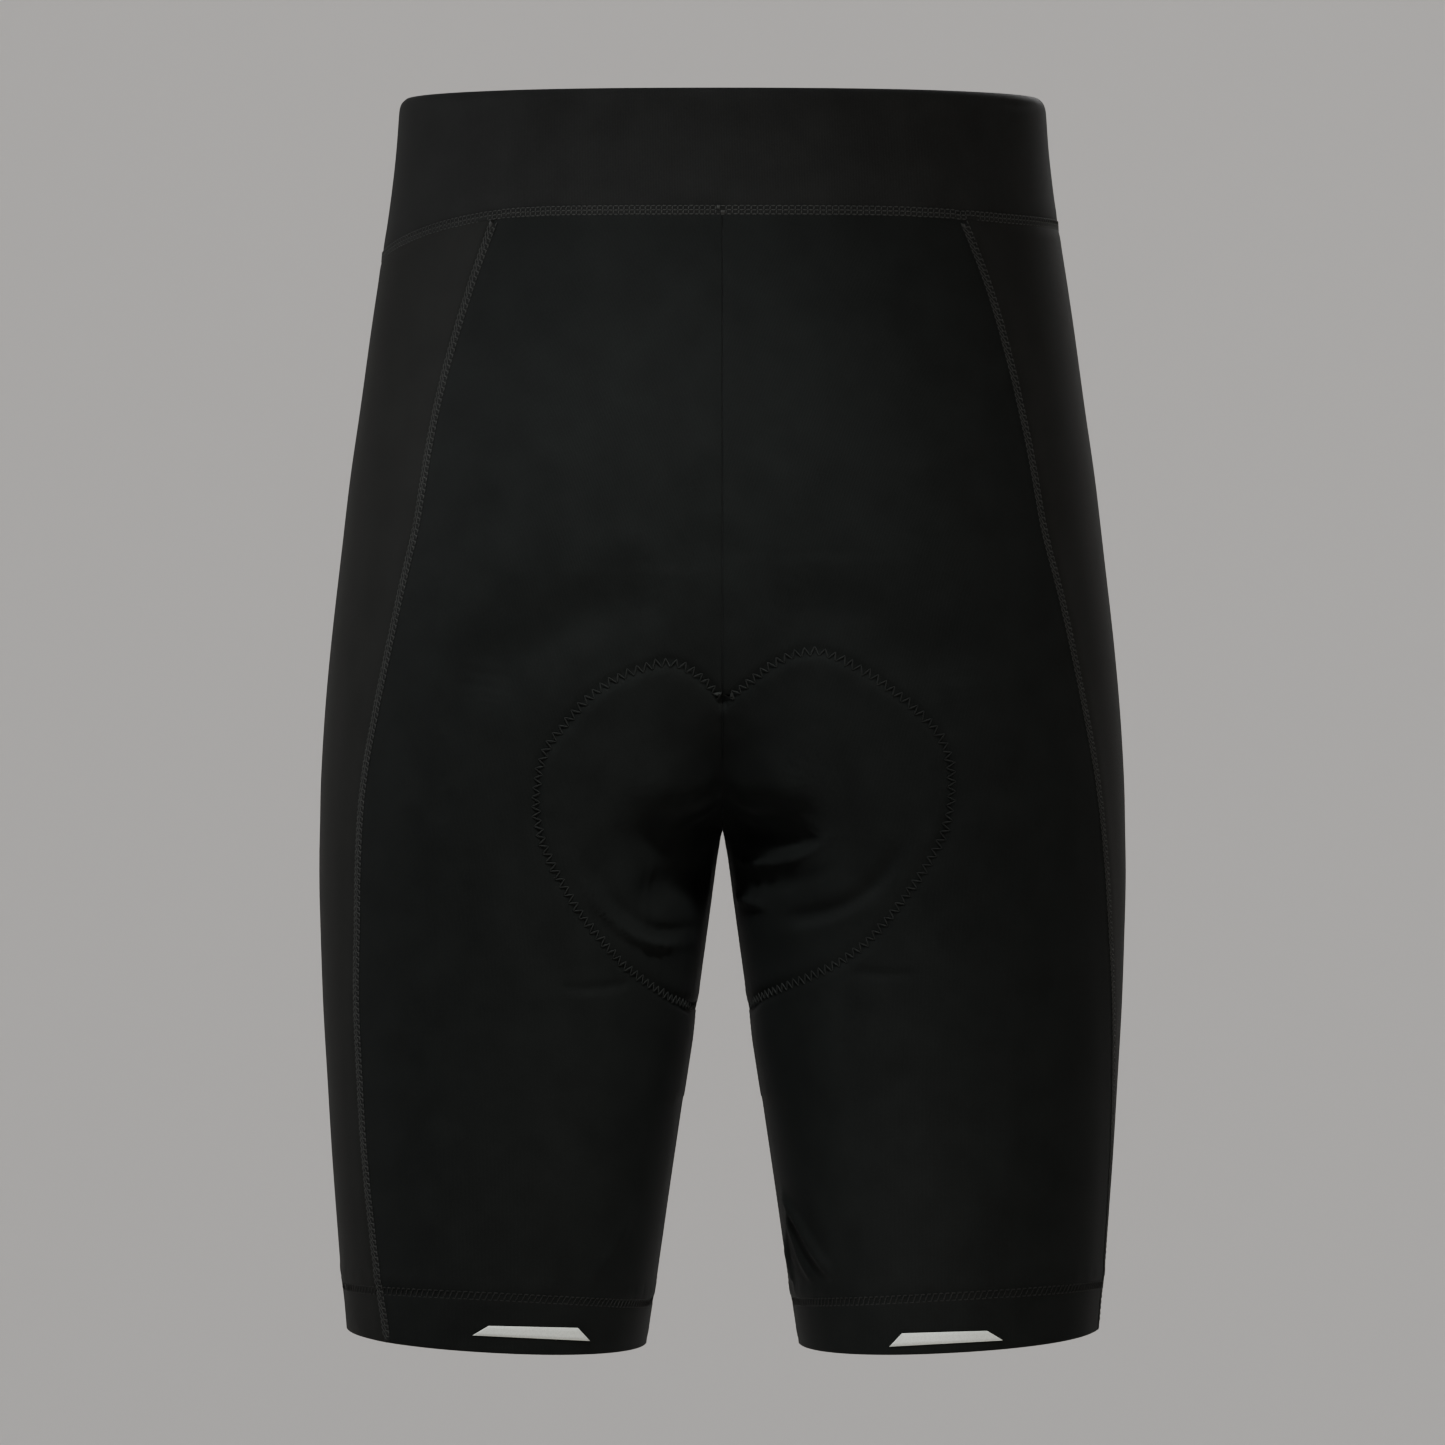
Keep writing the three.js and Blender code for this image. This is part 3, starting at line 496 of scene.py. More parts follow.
def seen_at(across, down):
    """The place on the back of the shorts seen at this point of the picture, in its pixels."""
    half = PHOTO_SIDE / 2
    reach = camera_data.lens / SENSOR * PHOTO_SIDE
    ray = camera_turn @ Vector((across - half, half - down, -reach))
    return tree.ray_cast(EYE, ray.normalized())[0]


def front_at(x, z):
    return tree.ray_cast(Vector((x * MM, 1.0, z * MM)), Vector((0, -1, 0)))[0]


def even_curve(places, step, closed=False):
    """A smooth curve through the places, as points an even step apart."""
    places = [Vector(place) for place in places]
    if closed:
        places = places[-1:] + places + places[:2]
    else:
        places = [2 * places[0] - places[1]] + places + [2 * places[-1] - places[-2]]
    fine = []
    for a, b, c, d in zip(places, places[1:], places[2:], places[3:]):
        count = max(2, int((c - b).length / step * 3))
        for i in range(count):
            t = i / count
            fine.append(0.5 * (2 * b + (c - a) * t + (2 * a - 5 * b + 4 * c - d) * t * t
                               + (3 * b - a - 3 * c + d) * t ** 3))
    fine.append(places[-2])
    fine = np.array(fine)
    run = np.concatenate([[0], np.cumsum(np.linalg.norm(np.diff(fine, axis=0), axis=1))])
    wanted = np.linspace(0, run[-1], max(2, round(run[-1] / step)) + 1)
    return np.column_stack([np.interp(wanted, run, fine[:, axis]) for axis in range(3)])


tree = cloth_tree()


# %% Edges of the panels, cut at their corners
CORNER_STEP, CORNER_SPAN = 3, 6
CORNER_COSINE = math.cos(math.radians(50))
CROTCH_HALF, CROTCH_TOP = 3 * MM, -300 * MM


def edge_runs(obj):
    bm = bmesh.new()
    bm.from_mesh(obj.data)
    unused = {edge for edge in bm.edges if edge.is_boundary}
    runs = []
    while unused:
        edge = unused.pop()
        ring = [edge.verts[0], edge.verts[1]]
        while True:
            following = [e for e in ring[-1].link_edges if e in unused]
            if not following:
                break
            unused.discard(following[0])
            ring.append(following[0].other_vert(ring[-1]))
        places = np.array([vertex.co for vertex in ring[:-1]])
        before = places - np.roll(places, CORNER_STEP, axis=0)
        after = np.roll(places, -CORNER_STEP, axis=0) - places
        cosine = np.sum(before * after, axis=1)
        cosine /= np.linalg.norm(before, axis=1) * np.linalg.norm(after, axis=1)
        span = range(-CORNER_SPAN, CORNER_SPAN + 1)
        near = np.min([np.roll(cosine, shift) for shift in span], axis=0)
        at_crotch = (abs(places[:, 0]) < CROTCH_HALF) & (places[:, 2] < CROTCH_TOP)
        sharp = (cosine < CORNER_COSINE) & (cosine == near)
        corners = np.flatnonzero(sharp & ~at_crotch)
        if len(corners) == 0:
            runs.append(places)
            continue
        for first, last in zip(corners, np.roll(corners, -1)):
            stop = last if last > first else last + len(places)
            runs.append(places[np.arange(first, stop + 1) % len(places)])
    bm.free()
    return runs


LONG_EDGE = 200 * MM


def downwards(run):
    return run if run[0][2] > run[-1][2] else run[::-1]


def long_runs(node):
    """The two long edges of a panel, from its top to its hem, the one nearer the centre first."""
    found = [downwards(run) for run in edge_runs(cloths[node]) if np.ptp(run[:, 2]) > LONG_EDGE]
    return sorted(found, key=lambda run: np.mean(abs(run[:, 0])))


# %% The seam lines
SEAM_STEP = 2 * MM
CROTCH_Z = -323.5 * MM
SIDES = {"left": -1, "right": 1}
waist_seam = min(edge_runs(cloths["waistband"]), key=lambda run: np.mean(run[:, 2]))
seam_lines = {"waist": even_curve(waist_seam[::4], SEAM_STEP, closed=True)}
for side in SIDES:
    centre, rear = long_runs("back_" + side)
    middle, front = long_runs("front_" + side)
    seam_lines["rear_" + side] = even_curve(rear[::4], SEAM_STEP)
    seam_lines["front_" + side] = even_curve(front[::2], SEAM_STEP)
    seam_lines["inseam_" + side] = even_curve(centre[centre[:, 2] < CROTCH_Z][::4], SEAM_STEP)
    seam_lines["centre_back_" + side] = centre[centre[:, 2] >= CROTCH_Z]
    seam_lines["centre_front_" + side] = middle[middle[:, 2] >= CROTCH_Z]
print({name: len(line) for name, line in seam_lines.items()})


# %% [markdown]
# ## Folds, puckers and the pad under the cloth
# Tight stretch cloth has few folds: short crescents under the seat where the thighs meet
# the body, faint creases across the thighs, and drag lines at the inside of a hem. Each is
# a soft trough or ridge along a curve. A cloth simulation could make some, but not these
# ones, so they are listed one by one: how wide, how high, and where.

# %% Troughs and ridges on the back, by their place in the picture
BACK_FOLDS = [
    ((582, 842), (612, 896), (654, 928), (700, 926), 2.2, -1.4),
    ((566, 838), (600, 908), (648, 943), (700, 941), 2.0, 2.7),
    ((600, 772), (690, 788), (754, 788), (844, 774), 15.0, 4.5),
    ((722, 804), (698, 816), (672, 832), (648, 848), 4.0, 0.8),
    ((712, 870), (690, 880), (662, 888), (630, 888), 10.0, -3.6),
    ((736, 800), (764, 802), (796, 812), (826, 828), 4.0, 0.7),
    ((736, 828), (764, 836), (794, 842), (826, 838), 5.0, -3.2),
    ((734, 859), (764, 864), (800, 857), (840, 830), 1.7, 1.9),
    ((736, 880), (768, 884), (800, 880), (840, 862), 4.5, -1.4),
    ((906, 832), (880, 878), (838, 908), (776, 922), 3.6, -2.4),
    ((916, 838), (892, 884), (850, 916), (790, 934), 3.0, 0.5),
    ((735, 896), (746, 901), (758, 905), (770, 907), 2.2, 1.3),
    ((552, 986), (580, 989), (608, 987), (636, 982), 2.2, -0.9),
    ((849, 970), (874, 974), (900, 974), (926, 971), 2.2, -0.8),
    ((779, 1186), (798, 1221), (817, 1254), (843, 1286), 2.6, 2.8),
    ((784, 1206), (793, 1235), (803, 1262), (819, 1286), 2.4, 2.0),
    ((786, 1232), (788, 1252), (791, 1268), (796, 1286), 2.4, 1.8),
    ((634, 1200), (622, 1232), (604, 1262), (578, 1288), 3.4, 0.8),
    ((998, 103), (1008, 104), (1020, 106), (1034, 104), 1.6, -0.7),
    ((450, 688), (530, 644), (600, 614), (684, 598), 16.0, -3.6),
    ((764, 598), (840, 612), (910, 644), (985, 690), 16.0, -3.6),
]
FRONT_FOLDS = [
    ((9, -300), (26, -290), (48, -276), (76, -262), 4.5, -0.9),
    ((14, -314), (40, -308), (66, -301), (96, -297), 5.0, -0.8),
    ((-10, -304), (-30, -292), (-54, -281), (-80, -270), 4.5, -0.8),
    ((-16, -322), (-38, -313), (-62, -308), (-92, -305), 5.0, -0.9),
    ((22, -345), (44, -350), (70, -352), (96, -348), 5.0, -0.5),
    ((-24, -338), (-48, -346), (-74, -349), (-98, -344), 5.0, -0.5),
    ((58, -424), (84, -430), (108, -430), (134, -426), 4.0, -0.4),
    ((-50, -438), (-78, -441), (-104, -440), (-126, -435), 4.0, -0.4),
]
FOLD_STEP = 2.5 * MM
FADE_SHARE = 0.25


def line_with_ends(places):
    """Even points along a curve, each with a strength that fades at the two ends."""
    line = even_curve(places, FOLD_STEP)
    along = np.linspace(0, 1, len(line))
    strength = np.clip(np.minimum(along, 1 - along) / FADE_SHARE, 0, 1)
    return line, strength * strength * (3 - 2 * strength)


folds = []
for *marks, width, height in BACK_FOLDS:
    folds.append((*line_with_ends([seen_at(*mark) for mark in marks]), width * MM, height * MM))
for *marks, width, height in FRONT_FOLDS:
    folds.append((*line_with_ends([front_at(*mark) for mark in marks]), width * MM, height * MM))
longest = max(len(fold[0]) for fold in folds) * FOLD_STEP / MM
print(len(folds), "folds, the longest", round(longest), "mm")

# %% [markdown]
# The seat pad shows from outside as a stitched line in the shape of a wide heart. It runs
# from a notch on the centre seam over each side of the seat, round the inside of the thigh
# and up the front. The cloth dips under the stitches and rises a little over the pad.

# %% The line of the pad stitching
PAD_BACK_LINE = {
    "left": [(724, 702), (711, 687), (692, 671), (670, 662), (647, 667), (622, 676), (602, 687),
             (583, 703), (567, 722), (552, 740), (542, 761), (537, 786), (536, 812), (541, 838),
             (551, 863), (567, 892), (583, 918), (599, 937), (618, 959), (640, 978), (676, 1000)],
    "right": [(724, 702), (738, 691), (753, 679), (772, 665), (790, 656), (814, 651), (836, 657),
              (858, 668), (881, 682), (900, 697), (920, 713), (937, 732), (948, 754), (952, 780),
              (951, 806), (945, 830), (932, 857), (916, 882), (899, 905), (881, 927), (862, 946),
              (836, 964), (807, 978), (762, 996)],
}
PAD_FRONT_LINE = [(28, -381), (35, -362), (38, -340), (37, -315), (34, -290), (30, -270),
                  (23, -258), (12, -251.5), (1, -250)]
PAD_FOOT_Z = -401 * MM
pad_lines = {}
for side, sign in SIDES.items():
    inseam = seam_lines["inseam_" + side]
    foot = inseam[np.argmin(abs(inseam[:, 2] - PAD_FOOT_Z))]
    marks = [seen_at(*mark) for mark in PAD_BACK_LINE[side]]
    marks += [Vector(foot)] + [front_at(sign * x, z) for x, z in PAD_FRONT_LINE]
    pad_lines[side] = even_curve(marks, 1 * MM)
    print("pad line", side, len(pad_lines[side]), "mm")


# %% [markdown]
# ## The hem lines
# A coverstitch holds the turned-up hem. It lies about 25 mm above the edge at the back and
# 19 mm at the sides, so its line is found by going up the cloth from the edge. It's needed
# already here, because the cloth dips under it and puckers above it.

# %% Find the hem lines
def on_cloth(place):
    found, normal, *rest = tree.find_nearest(Vector(place))
    return found, normal


HEM_STITCH_RISES = (19.5, 24.8)


def hem_line(side):
    places = []
    for node in ("back_", "side_", "front_"):
        runs = edge_runs(cloths[node + side])
        places.append(min(runs, key=lambda run: np.mean(run[:, 2]))[::4])
    ring = np.vstack(places)
    middle = ring.mean(axis=0)
    angle = np.arctan2(ring[:, 1] - middle[1], (middle[0] - ring[:, 0]) * SIDES[side])
    ring = ring[np.argsort(angle)]
    share = (np.sort(angle) + math.pi) / math.tau
    height = np.interp(np.abs(np.sin(math.tau * share)), [0, 1], HEM_STITCH_RISES)
    ring[:, 2] += height * MM
    line = even_curve(ring[::2], SEAM_STEP, closed=True)
    return np.array([on_cloth(place)[0] for place in line])


hem_lines = {side: hem_line(side) for side in SIDES}
print("hem lines", {side: round(len(line) * SEAM_STEP / MM) for side, line in hem_lines.items()}, "mm")


# %% [markdown]
# ## Pushing the cloth in and out
# Every fold, seam and stitch line moves the cloth near it along its own normal, by a soft
# bell across the line. The sum of them all is worked out at each vertex at once. The same
# could be done by sculpting, but a sum of lines stays exact and can be changed by number.

# %% Distances from a line, and soft shapes
FAR = 9.0
BATCH = 2000


def nearest_on(line, places, reach):
    """For each place its distance to the line and the number of the nearest point on it."""
    close = np.flatnonzero(((places > line.min(0) - reach) & (places < line.max(0) + reach)).all(1))
    distance = np.full(len(places), FAR)
    index = np.zeros(len(places), dtype=int)
    for part in np.array_split(close, max(1, len(close) // BATCH)):
        if len(part):
            apart = np.linalg.norm(places[part, None, :] - line[None], axis=2)
            index[part] = apart.argmin(1)
            distance[part] = apart.min(1)
    return distance, index


def bell(distance, width):
    return np.exp(-(distance / width) ** 2)


def uneven(along, seed):
    """A slow wander between about -1 and 1 along a seam, the same each time."""
    return (np.sin(along * 0.61 + seed) + 0.7 * np.sin(along * 1.37 + 2.1 * seed)
            + 0.5 * np.sin(along * 2.93 + 0.7 * seed)) / 2.2


def rise(share):
    share = np.clip(share, 0, 1)
    return share * share * (3 - 2 * share)


def pucker(along, seed):
    """The share of a pucker at each point of a seam, as the thread draws it in unevenly."""
    return 0.6 + 0.4 * uneven(along, seed)


# %% What seams, hems and the pad do to the cloth
SEAM_REACH, HEM_REACH, PAD_REACH = 16 * MM, 14 * MM, 40 * MM
SEAM_DIP, SEAM_DIP_WIDTH = 0.3 * MM, 2.6 * MM
HEM_DIP, HEM_DIP_WIDTH = 0.35 * MM, 2.2 * MM
PAD_DIP, PAD_DIP_WIDTH = 1.0 * MM, 2.2 * MM
SEAM_PUFF, HEM_PUFF, PAD_PUFF = 0.2 * MM, 0.45 * MM, 0.3 * MM
PUFF_AWAY, PUFF_WIDTH = 6 * MM, 3.5 * MM
HEM_PUFF_AWAY, HEM_PUFF_WIDTH = 5.5 * MM, 3 * MM
CENTRE_SHARE = 0.15
PAD_SWELL, PAD_BRIM, PAD_SLOPE = 0.5 * MM, 1 * MM, 16 * MM
SWELL_END, SWELL_FADE = 60 * MM, 30 * MM
SIDE_OVERLAP = 2 * MM


def seam_relief(places):
    height = np.zeros(len(places))
    for seed, (name, line) in enumerate(seam_lines.items()):
        distance, index = nearest_on(line, places, SEAM_REACH)
        share = CENTRE_SHARE if name.startswith("centre") else 1.0
        puff = bell(distance - PUFF_AWAY, PUFF_WIDTH) * pucker(index * 2.0, seed)
        height += share * (SEAM_PUFF * puff - SEAM_DIP * bell(distance, SEAM_DIP_WIDTH))
    return height


def hem_relief(places):
    height = np.zeros(len(places))
    for line in hem_lines.values():
        distance, index = nearest_on(line, places, HEM_REACH)
        above = places[:, 2] > line[index, 2]
        puff = bell(distance - HEM_PUFF_AWAY, HEM_PUFF_WIDTH) * above * pucker(index * 2.0, 7)
        height += HEM_PUFF * puff - HEM_DIP * bell(distance, HEM_DIP_WIDTH)
    return height


def pad_relief(places, normals):
    height = np.zeros(len(places))
    swell = np.zeros(len(places))
    for side, line in pad_lines.items():
        distance, index = nearest_on(line, places, PAD_REACH)
        tangent = np.gradient(line, axis=0)
        inwards = np.cross(normals, tangent[index]) * SIDES[side]
        inside = np.sum((places - line[index]) * inwards, axis=1) > 0
        near = (places[:, 0] * SIDES[side] > -SIDE_OVERLAP) & (distance < FAR)
        slope = rise((distance - PAD_BRIM) / PAD_SLOPE) * rise((SWELL_END - distance) / SWELL_FADE)
        swell = np.maximum(swell, slope * (inside & near))
        puff = bell(distance - PUFF_AWAY, PUFF_WIDTH) * pucker(index * 0.8, 3) * ~inside
        height += near * (PAD_PUFF * puff - PAD_DIP * bell(distance, PAD_DIP_WIDTH))
    return height + PAD_SWELL * swell


# %% Move the cloth
def relief(places, normals):
    """How far each place of the cloth moves out."""
    height = np.zeros(len(places))
    for line, strength, width, tall in folds:
        distance, index = nearest_on(line, places, 3 * width)
        height += tall * strength[index] * bell(distance, width)
    return height + seam_relief(places) + hem_relief(places) + pad_relief(places, normals)


def vertex_arrays(mesh):
    places = np.zeros(len(mesh.vertices) * 3)
    normals = np.zeros(len(mesh.vertices) * 3)
    mesh.vertices.foreach_get("co", places)
    mesh.vertex_normals.foreach_get("vector", normals)
    return places.reshape(-1, 3), normals.reshape(-1, 3)


for node, obj in cloths.items():
    places, normals = vertex_arrays(obj.data)
    moved = relief(places, normals)
    obj.data.vertices.foreach_set("co", (places + normals * moved[:, None]).ravel())
    obj.data.update()
    print(node, "moved from", round(moved.min() / MM, 2), "to", round(moved.max() / MM, 2), "mm")


# %% [markdown]
# ## The wall of the cloth
# So far each piece is a skin with no thickness. One layer of the knit is 1.2 mm thick, and
# the waistband and the turned-up hems are double. Solidify gives the wall inwards, and a
# vertex group tells it where the cloth is single.

# %% Give the cloth its thickness and its place in the frame
SINGLE, DOUBLE = 1.2, 2.2
HEM_RISE, HEM_BLEND = 26 * MM, 4 * MM
HEM_EDGE_X = (34 * MM, 165 * MM)
HEM_EDGE_Z = (-552 * MM, -544.5 * MM)


for node, obj in cloths.items():
    is_band = node == "waistband"
    if not is_band:
        places, normals = vertex_arrays(obj.data)
        above = places[:, 2] - np.interp(abs(places[:, 0]), HEM_EDGE_X, HEM_EDGE_Z)
        folded = 1 - rise((above - HEM_RISE + HEM_BLEND) / HEM_BLEND)
        weights = SINGLE / DOUBLE + (1 - SINGLE / DOUBLE) * folded
        group = obj.vertex_groups.new(name="wall")
        for weight in np.unique(weights.round(3)):
            group.add(np.flatnonzero(weights.round(3) == weight).tolist(), float(weight), "REPLACE")
    wall = obj.modifiers.new("wall", "SOLIDIFY")
    wall.thickness = DOUBLE * MM
    wall.offset = -1.0
    if not is_band:
        wall.vertex_group = "wall"
    obj.data.materials.clear()
    obj.data.materials.append(band_cloth if is_band else side_cloth_painted_light if "side" in node else body_cloth)
    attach(obj, BODY)
    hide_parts(node)
print(len(cloths), "cloths walled")


# %% [markdown]
# ## Seams that lie on the cloth
# A flatlock seam joins two edges that meet without overlapping. Looping threads cover both
# sides of the join, so it looks like a slightly raised ladder five millimetres wide. The
# bed of thread is a grid laid on the cloth and crowned; the stitches that catch the light
# are separate small strands. Bump alone would look flat from the side.

# %% Lay a bed of thread along a seam
tree = cloth_tree()
STRIP_COLUMNS = 8
BED_THICK = 0.35 * MM
BED_CLOSE = 0.02 * MM


def frames_along(line, closed=False):
    """For each point of a line: its place on the cloth, the way along and the way out."""
    tangents = np.gradient(line, axis=0)
    if closed:
        tangents[0] = tangents[-1] = line[1] - line[-2]
    found = [on_cloth(place) for place in line]
    normals = np.array([normal for place, normal in found])
    smooth = normals.copy()
    smooth[1:-1] = normals[:-2] + 2 * normals[1:-1] + normals[2:]
    return [(place, Vector(along).normalized(), Vector(out).normalized())
            for (place, normal), along, out in zip(found, tangents, smooth)]


def seam_strip(name, line, half_width, crown, material, edge=-0.25, closed=False):
    frames = frames_along(line, closed)
    last = len(frames) - 1
    bm = bmesh.new()
    uv_layer = bm.loops.layers.uv.new("along_seam")
    bmesh.ops.create_grid(bm, x_segments=last, y_segments=STRIP_COLUMNS, size=0.5)
    step = np.linalg.norm(line[1] - line[0])
    run = {}
    for vert in bm.verts:
        i = round((vert.co.x + 0.5) * last)
        across = 2 * vert.co.y
        place, along, out = frames[i]
        sideways = out.cross(along) * across * half_width
        found = on_cloth(place + sideways)[0]
        run[vert] = (i * step, across * half_width)
        vert.co = found + out * (edge + (crown - edge) * (1 - abs(across) ** 3)) * MM
    for face in bm.faces:
        for corner in face.loops:
            corner[uv_layer].uv = run[corner.vert]
    if closed:
        bmesh.ops.remove_doubles(bm, verts=bm.verts, dist=BED_CLOSE)
    bmesh.ops.recalc_face_normals(bm, faces=bm.faces)
    middle = frames[last // 2]
    nearest = min(bm.faces, key=lambda face: (face.calc_center_median() - middle[0]).length)
    if nearest.normal.dot(middle[2]) < 0:
        bmesh.ops.reverse_faces(bm, faces=bm.faces)
    strip = add_object(name, bm)
    strip.data.materials.append(material)
    layer = strip.modifiers.new("layer", "SOLIDIFY")
    layer.thickness = BED_THICK
    layer.offset = -1.0
    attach(strip, BODY)
    return strip


# %% Sew single strands
THREAD_THICK = 0.3
STRAND_LIFT, STRAND_FLAT = 0.35, 0.75


def strand(start, end, out, thick):
    """The matrix that makes a round bead into one strand of thread on the cloth."""
    along = (end - start).normalized()
    across = along.cross(out).normalized()
    upright = across.cross(along)
    turn = Matrix((upright, across, along)).transposed().to_4x4()
    middle = (start + end) / 2 + out * thick * STRAND_LIFT
    size = Matrix.Diagonal((thick * STRAND_FLAT, thick, (end - start).length / 2, 1))
    return Matrix.Translation(middle) @ turn @ size


def sewn_piece(name, strands, fibre):
    """One piece of many strands: a bead is doubled until there are enough, then each is placed."""
    bm = bmesh.new()
    bmesh.ops.create_uvsphere(bm, u_segments=6, v_segments=4, radius=1.0)
    bead = len(bm.verts)
    while len(bm.verts) < bead * len(strands):
        missing = bead * len(strands) - len(bm.verts)
        bm.verts.ensure_lookup_table()
        source = set(bm.verts[:min(missing, len(bm.verts))])
        faces = [face for face in bm.faces if face.verts[0] in source]
        bmesh.ops.duplicate(bm, geom=faces)
    bm.verts.ensure_lookup_table()
    for number, matrix in enumerate(strands):
        for vert in bm.verts[number * bead:(number + 1) * bead]:
            vert.co = matrix @ vert.co
    piece = add_object(name, bm)
    piece.data.materials.append(fibre)
    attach(piece, BODY)
    print(name, len(strands), "strands")
    return piece


# %% Rows of stitches with rungs between them
STITCH_HALF = 0.36
RUNG_THICK = 0.85
WANDER = 0.06
STAGGER_LEAN = 0.3


def ladder_stitches(name, line, pitch, rows, lift, fibre, lean, closed=False):
    """Rows of short stitches along a seam, with slanting strands from row to row."""
    fine = even_curve(line[::2] if len(line) > 8 else line, pitch * MM)
    frames = frames_along(fine, closed)
    strands = []
    for number in range(len(frames) - 1):
        place, along, out = frames[number]
        sideways = out.cross(along)
        step = (frames[number + 1][0] - place).length
        jitter = WANDER * uneven(np.array(number * 1.9), 5)
        spots = []
        for row, offset in enumerate(rows):
            stagger = 0.5 * (row % 2) if lean > STAGGER_LEAN else 0.0
            centre = place + sideways * (offset + jitter) * MM + along * stagger * step
            spots.append(centre + out * lift * MM)
            half = along * STITCH_HALF * step
            strands.append(strand(spots[-1] - half, spots[-1] + half, out, THREAD_THICK * MM))
        for low, high in zip(spots, spots[1:]):
            start = low + along * (0.5 - lean) * step
            end = high + along * (0.5 + lean) * step
            strands.append(strand(start, end, out, THREAD_THICK * RUNG_THICK * MM))
    return sewn_piece(name, strands, fibre)


# %% Threads
TWIST = 0.3 * MM


def thread_material(name, colour):
    return cloth_material(name, colour, 0.5, 0.03, TWIST, TWIST, 0.3, 0.2)


thread = thread_material("black_thread", (0.041, 0.042, 0.040))
hem_thread = thread_material("hem_thread", (0.019, 0.019, 0.018))
pad_thread = thread_material("pad_thread", (0.016, 0.017, 0.016))
seam_cloth = cloth_material("seam_thread_bed", (0.0135, 0.0140, 0.0136), 0.66, 0.01,
                            0.8 * MM, 0.9 * MM, 0.3, 0.8)
print("threads", [fibre.name for fibre in (thread, hem_thread, pad_thread, seam_cloth)])

# %% Sew the waist seam
WAIST_ROWS = (-1.8, 0.0, 1.8)
WAIST_PITCH = {"left": 2.32, "right": 2.7}
waist_line = seam_lines["waist"]
seam_strip("waist_seam_bed", waist_line, 2.7 * MM, 0.3, seam_cloth, closed=True)
for side, pitch in WAIST_PITCH.items():
    own = waist_line[waist_line[:, 0] * SIDES[side] >= 0]
    order = np.argsort(np.arctan2(own[:, 0] * SIDES[side], -own[:, 1]))
    ladder_stitches("waist_stitches_" + side, own[order], pitch, WAIST_ROWS, 0.28, thread, lean=0.05)

# %% Sew the side seams and the inseams
SEAM_ROWS = (-1.75, 0.0, 1.75)
SEAM_PITCH = 2.5
for side in SIDES:
    for place in ("rear_", "front_", "inseam_"):
        line = seam_lines[place + side][2:]
        seam_strip(f"{place}seam_bed_{side}", line, 2.6 * MM, 0.32, seam_cloth)
        ladder_stitches(f"{place}stitches_{side}", line, SEAM_PITCH, SEAM_ROWS, 0.22, thread,
                        lean=0.35)


# %% [markdown]
# The centre seams are plain: two edges are joined inside and only a fine dark line shows.
# The joined edges are pressed flat behind it, as a narrow strip on the inner side.

# %% Strips behind the centre seams
ALLOWANCE_HALF, JOIN_HALF = 4 * MM, 0.2 * MM
for place in ("centre_back_", "centre_front_"):
    line = even_curve(seam_lines[place + "left"][::6], 3 * MM)
    line[:, 0] = 0.0
    seam_strip(place + "allowance", line, ALLOWANCE_HALF, -1.25, seam_cloth, edge=-1.3)
    seam_strip(place + "join", line, JOIN_HALF, -0.03, seam_cloth, edge=-0.1)
    print(place + "seam", len(line), "places")

# %% [markdown]
# The hem stitches lie along the lines found above: two rows of thread with strands that
# slant from one row to the other.

# %% Hem stitches
HEM_ROWS = (-1.66, 1.66)
HEM_PITCH = 2.66
for side in SIDES:
    ladder_stitches("hem_stitches_" + side, hem_lines[side], HEM_PITCH, HEM_ROWS, 0.1, hem_thread,
                    lean=0.3, closed=True)


# %% [markdown]
# The pad is held by a zigzag stitch: each strand crosses the line slantwise, four and a
# half millimetres from side to side.

# %% Zigzag round the pad
ZIGZAG_REACH = 2.25 * MM
ZIGZAG_STEP = 2.1 * MM
ZIGZAG_LIFT = 0.12 * MM
for side in SIDES:
    line = even_curve(pad_lines[side][::6], ZIGZAG_STEP)
    frames = frames_along(line)
    corners = []
    for number, (place, along, out) in enumerate(frames):
        swing = ZIGZAG_REACH if number % 2 else -ZIGZAG_REACH
        found = on_cloth(place + out.cross(along) * swing)[0]
        corners.append((found + out * ZIGZAG_LIFT, out))
    pairs = zip(corners[1:], corners[2:])
    strands = [strand(start, end[0], out, THREAD_THICK * MM) for (start, out), end in pairs]
    sewn_piece("pad_zigzag_" + side, strands, pad_thread)


# %% [markdown]
# ## The seat pad
# Inside the shorts lies a pad of soft foam with a brushed face. It is sewn to the cloth, so
# it takes part in every fold: the same troughs and ridges push it in and out. On the
# wearer's side two moulded channels run from back to front. A cushion simulation could
# swell it, but it lies within two millimetres of the cloth, so the crown is given.

# %% Dress the pad
PAD_JOIN = 50
PAD_BEND, PAD_MIDDLE_Z = 100 * MM, -240 * MM


def add_pad():
    bm = load_solid("seat_pad")
    join_to_squares(bm, PAD_JOIN)
    uv_layer = bm.loops.layers.uv.new("along_pad")
    for face in bm.faces:
        for corner in face.loops:
            x, y, z = corner.vert.co
            corner[uv_layer].uv = (x, math.atan2(y, PAD_MIDDLE_Z - z) * PAD_BEND)
    return add_object("seat_pad_foam", bm)


pad = add_pad()
rounded(pad, 2)
print("pad", len(pad.data.polygons), "faces after rounding")

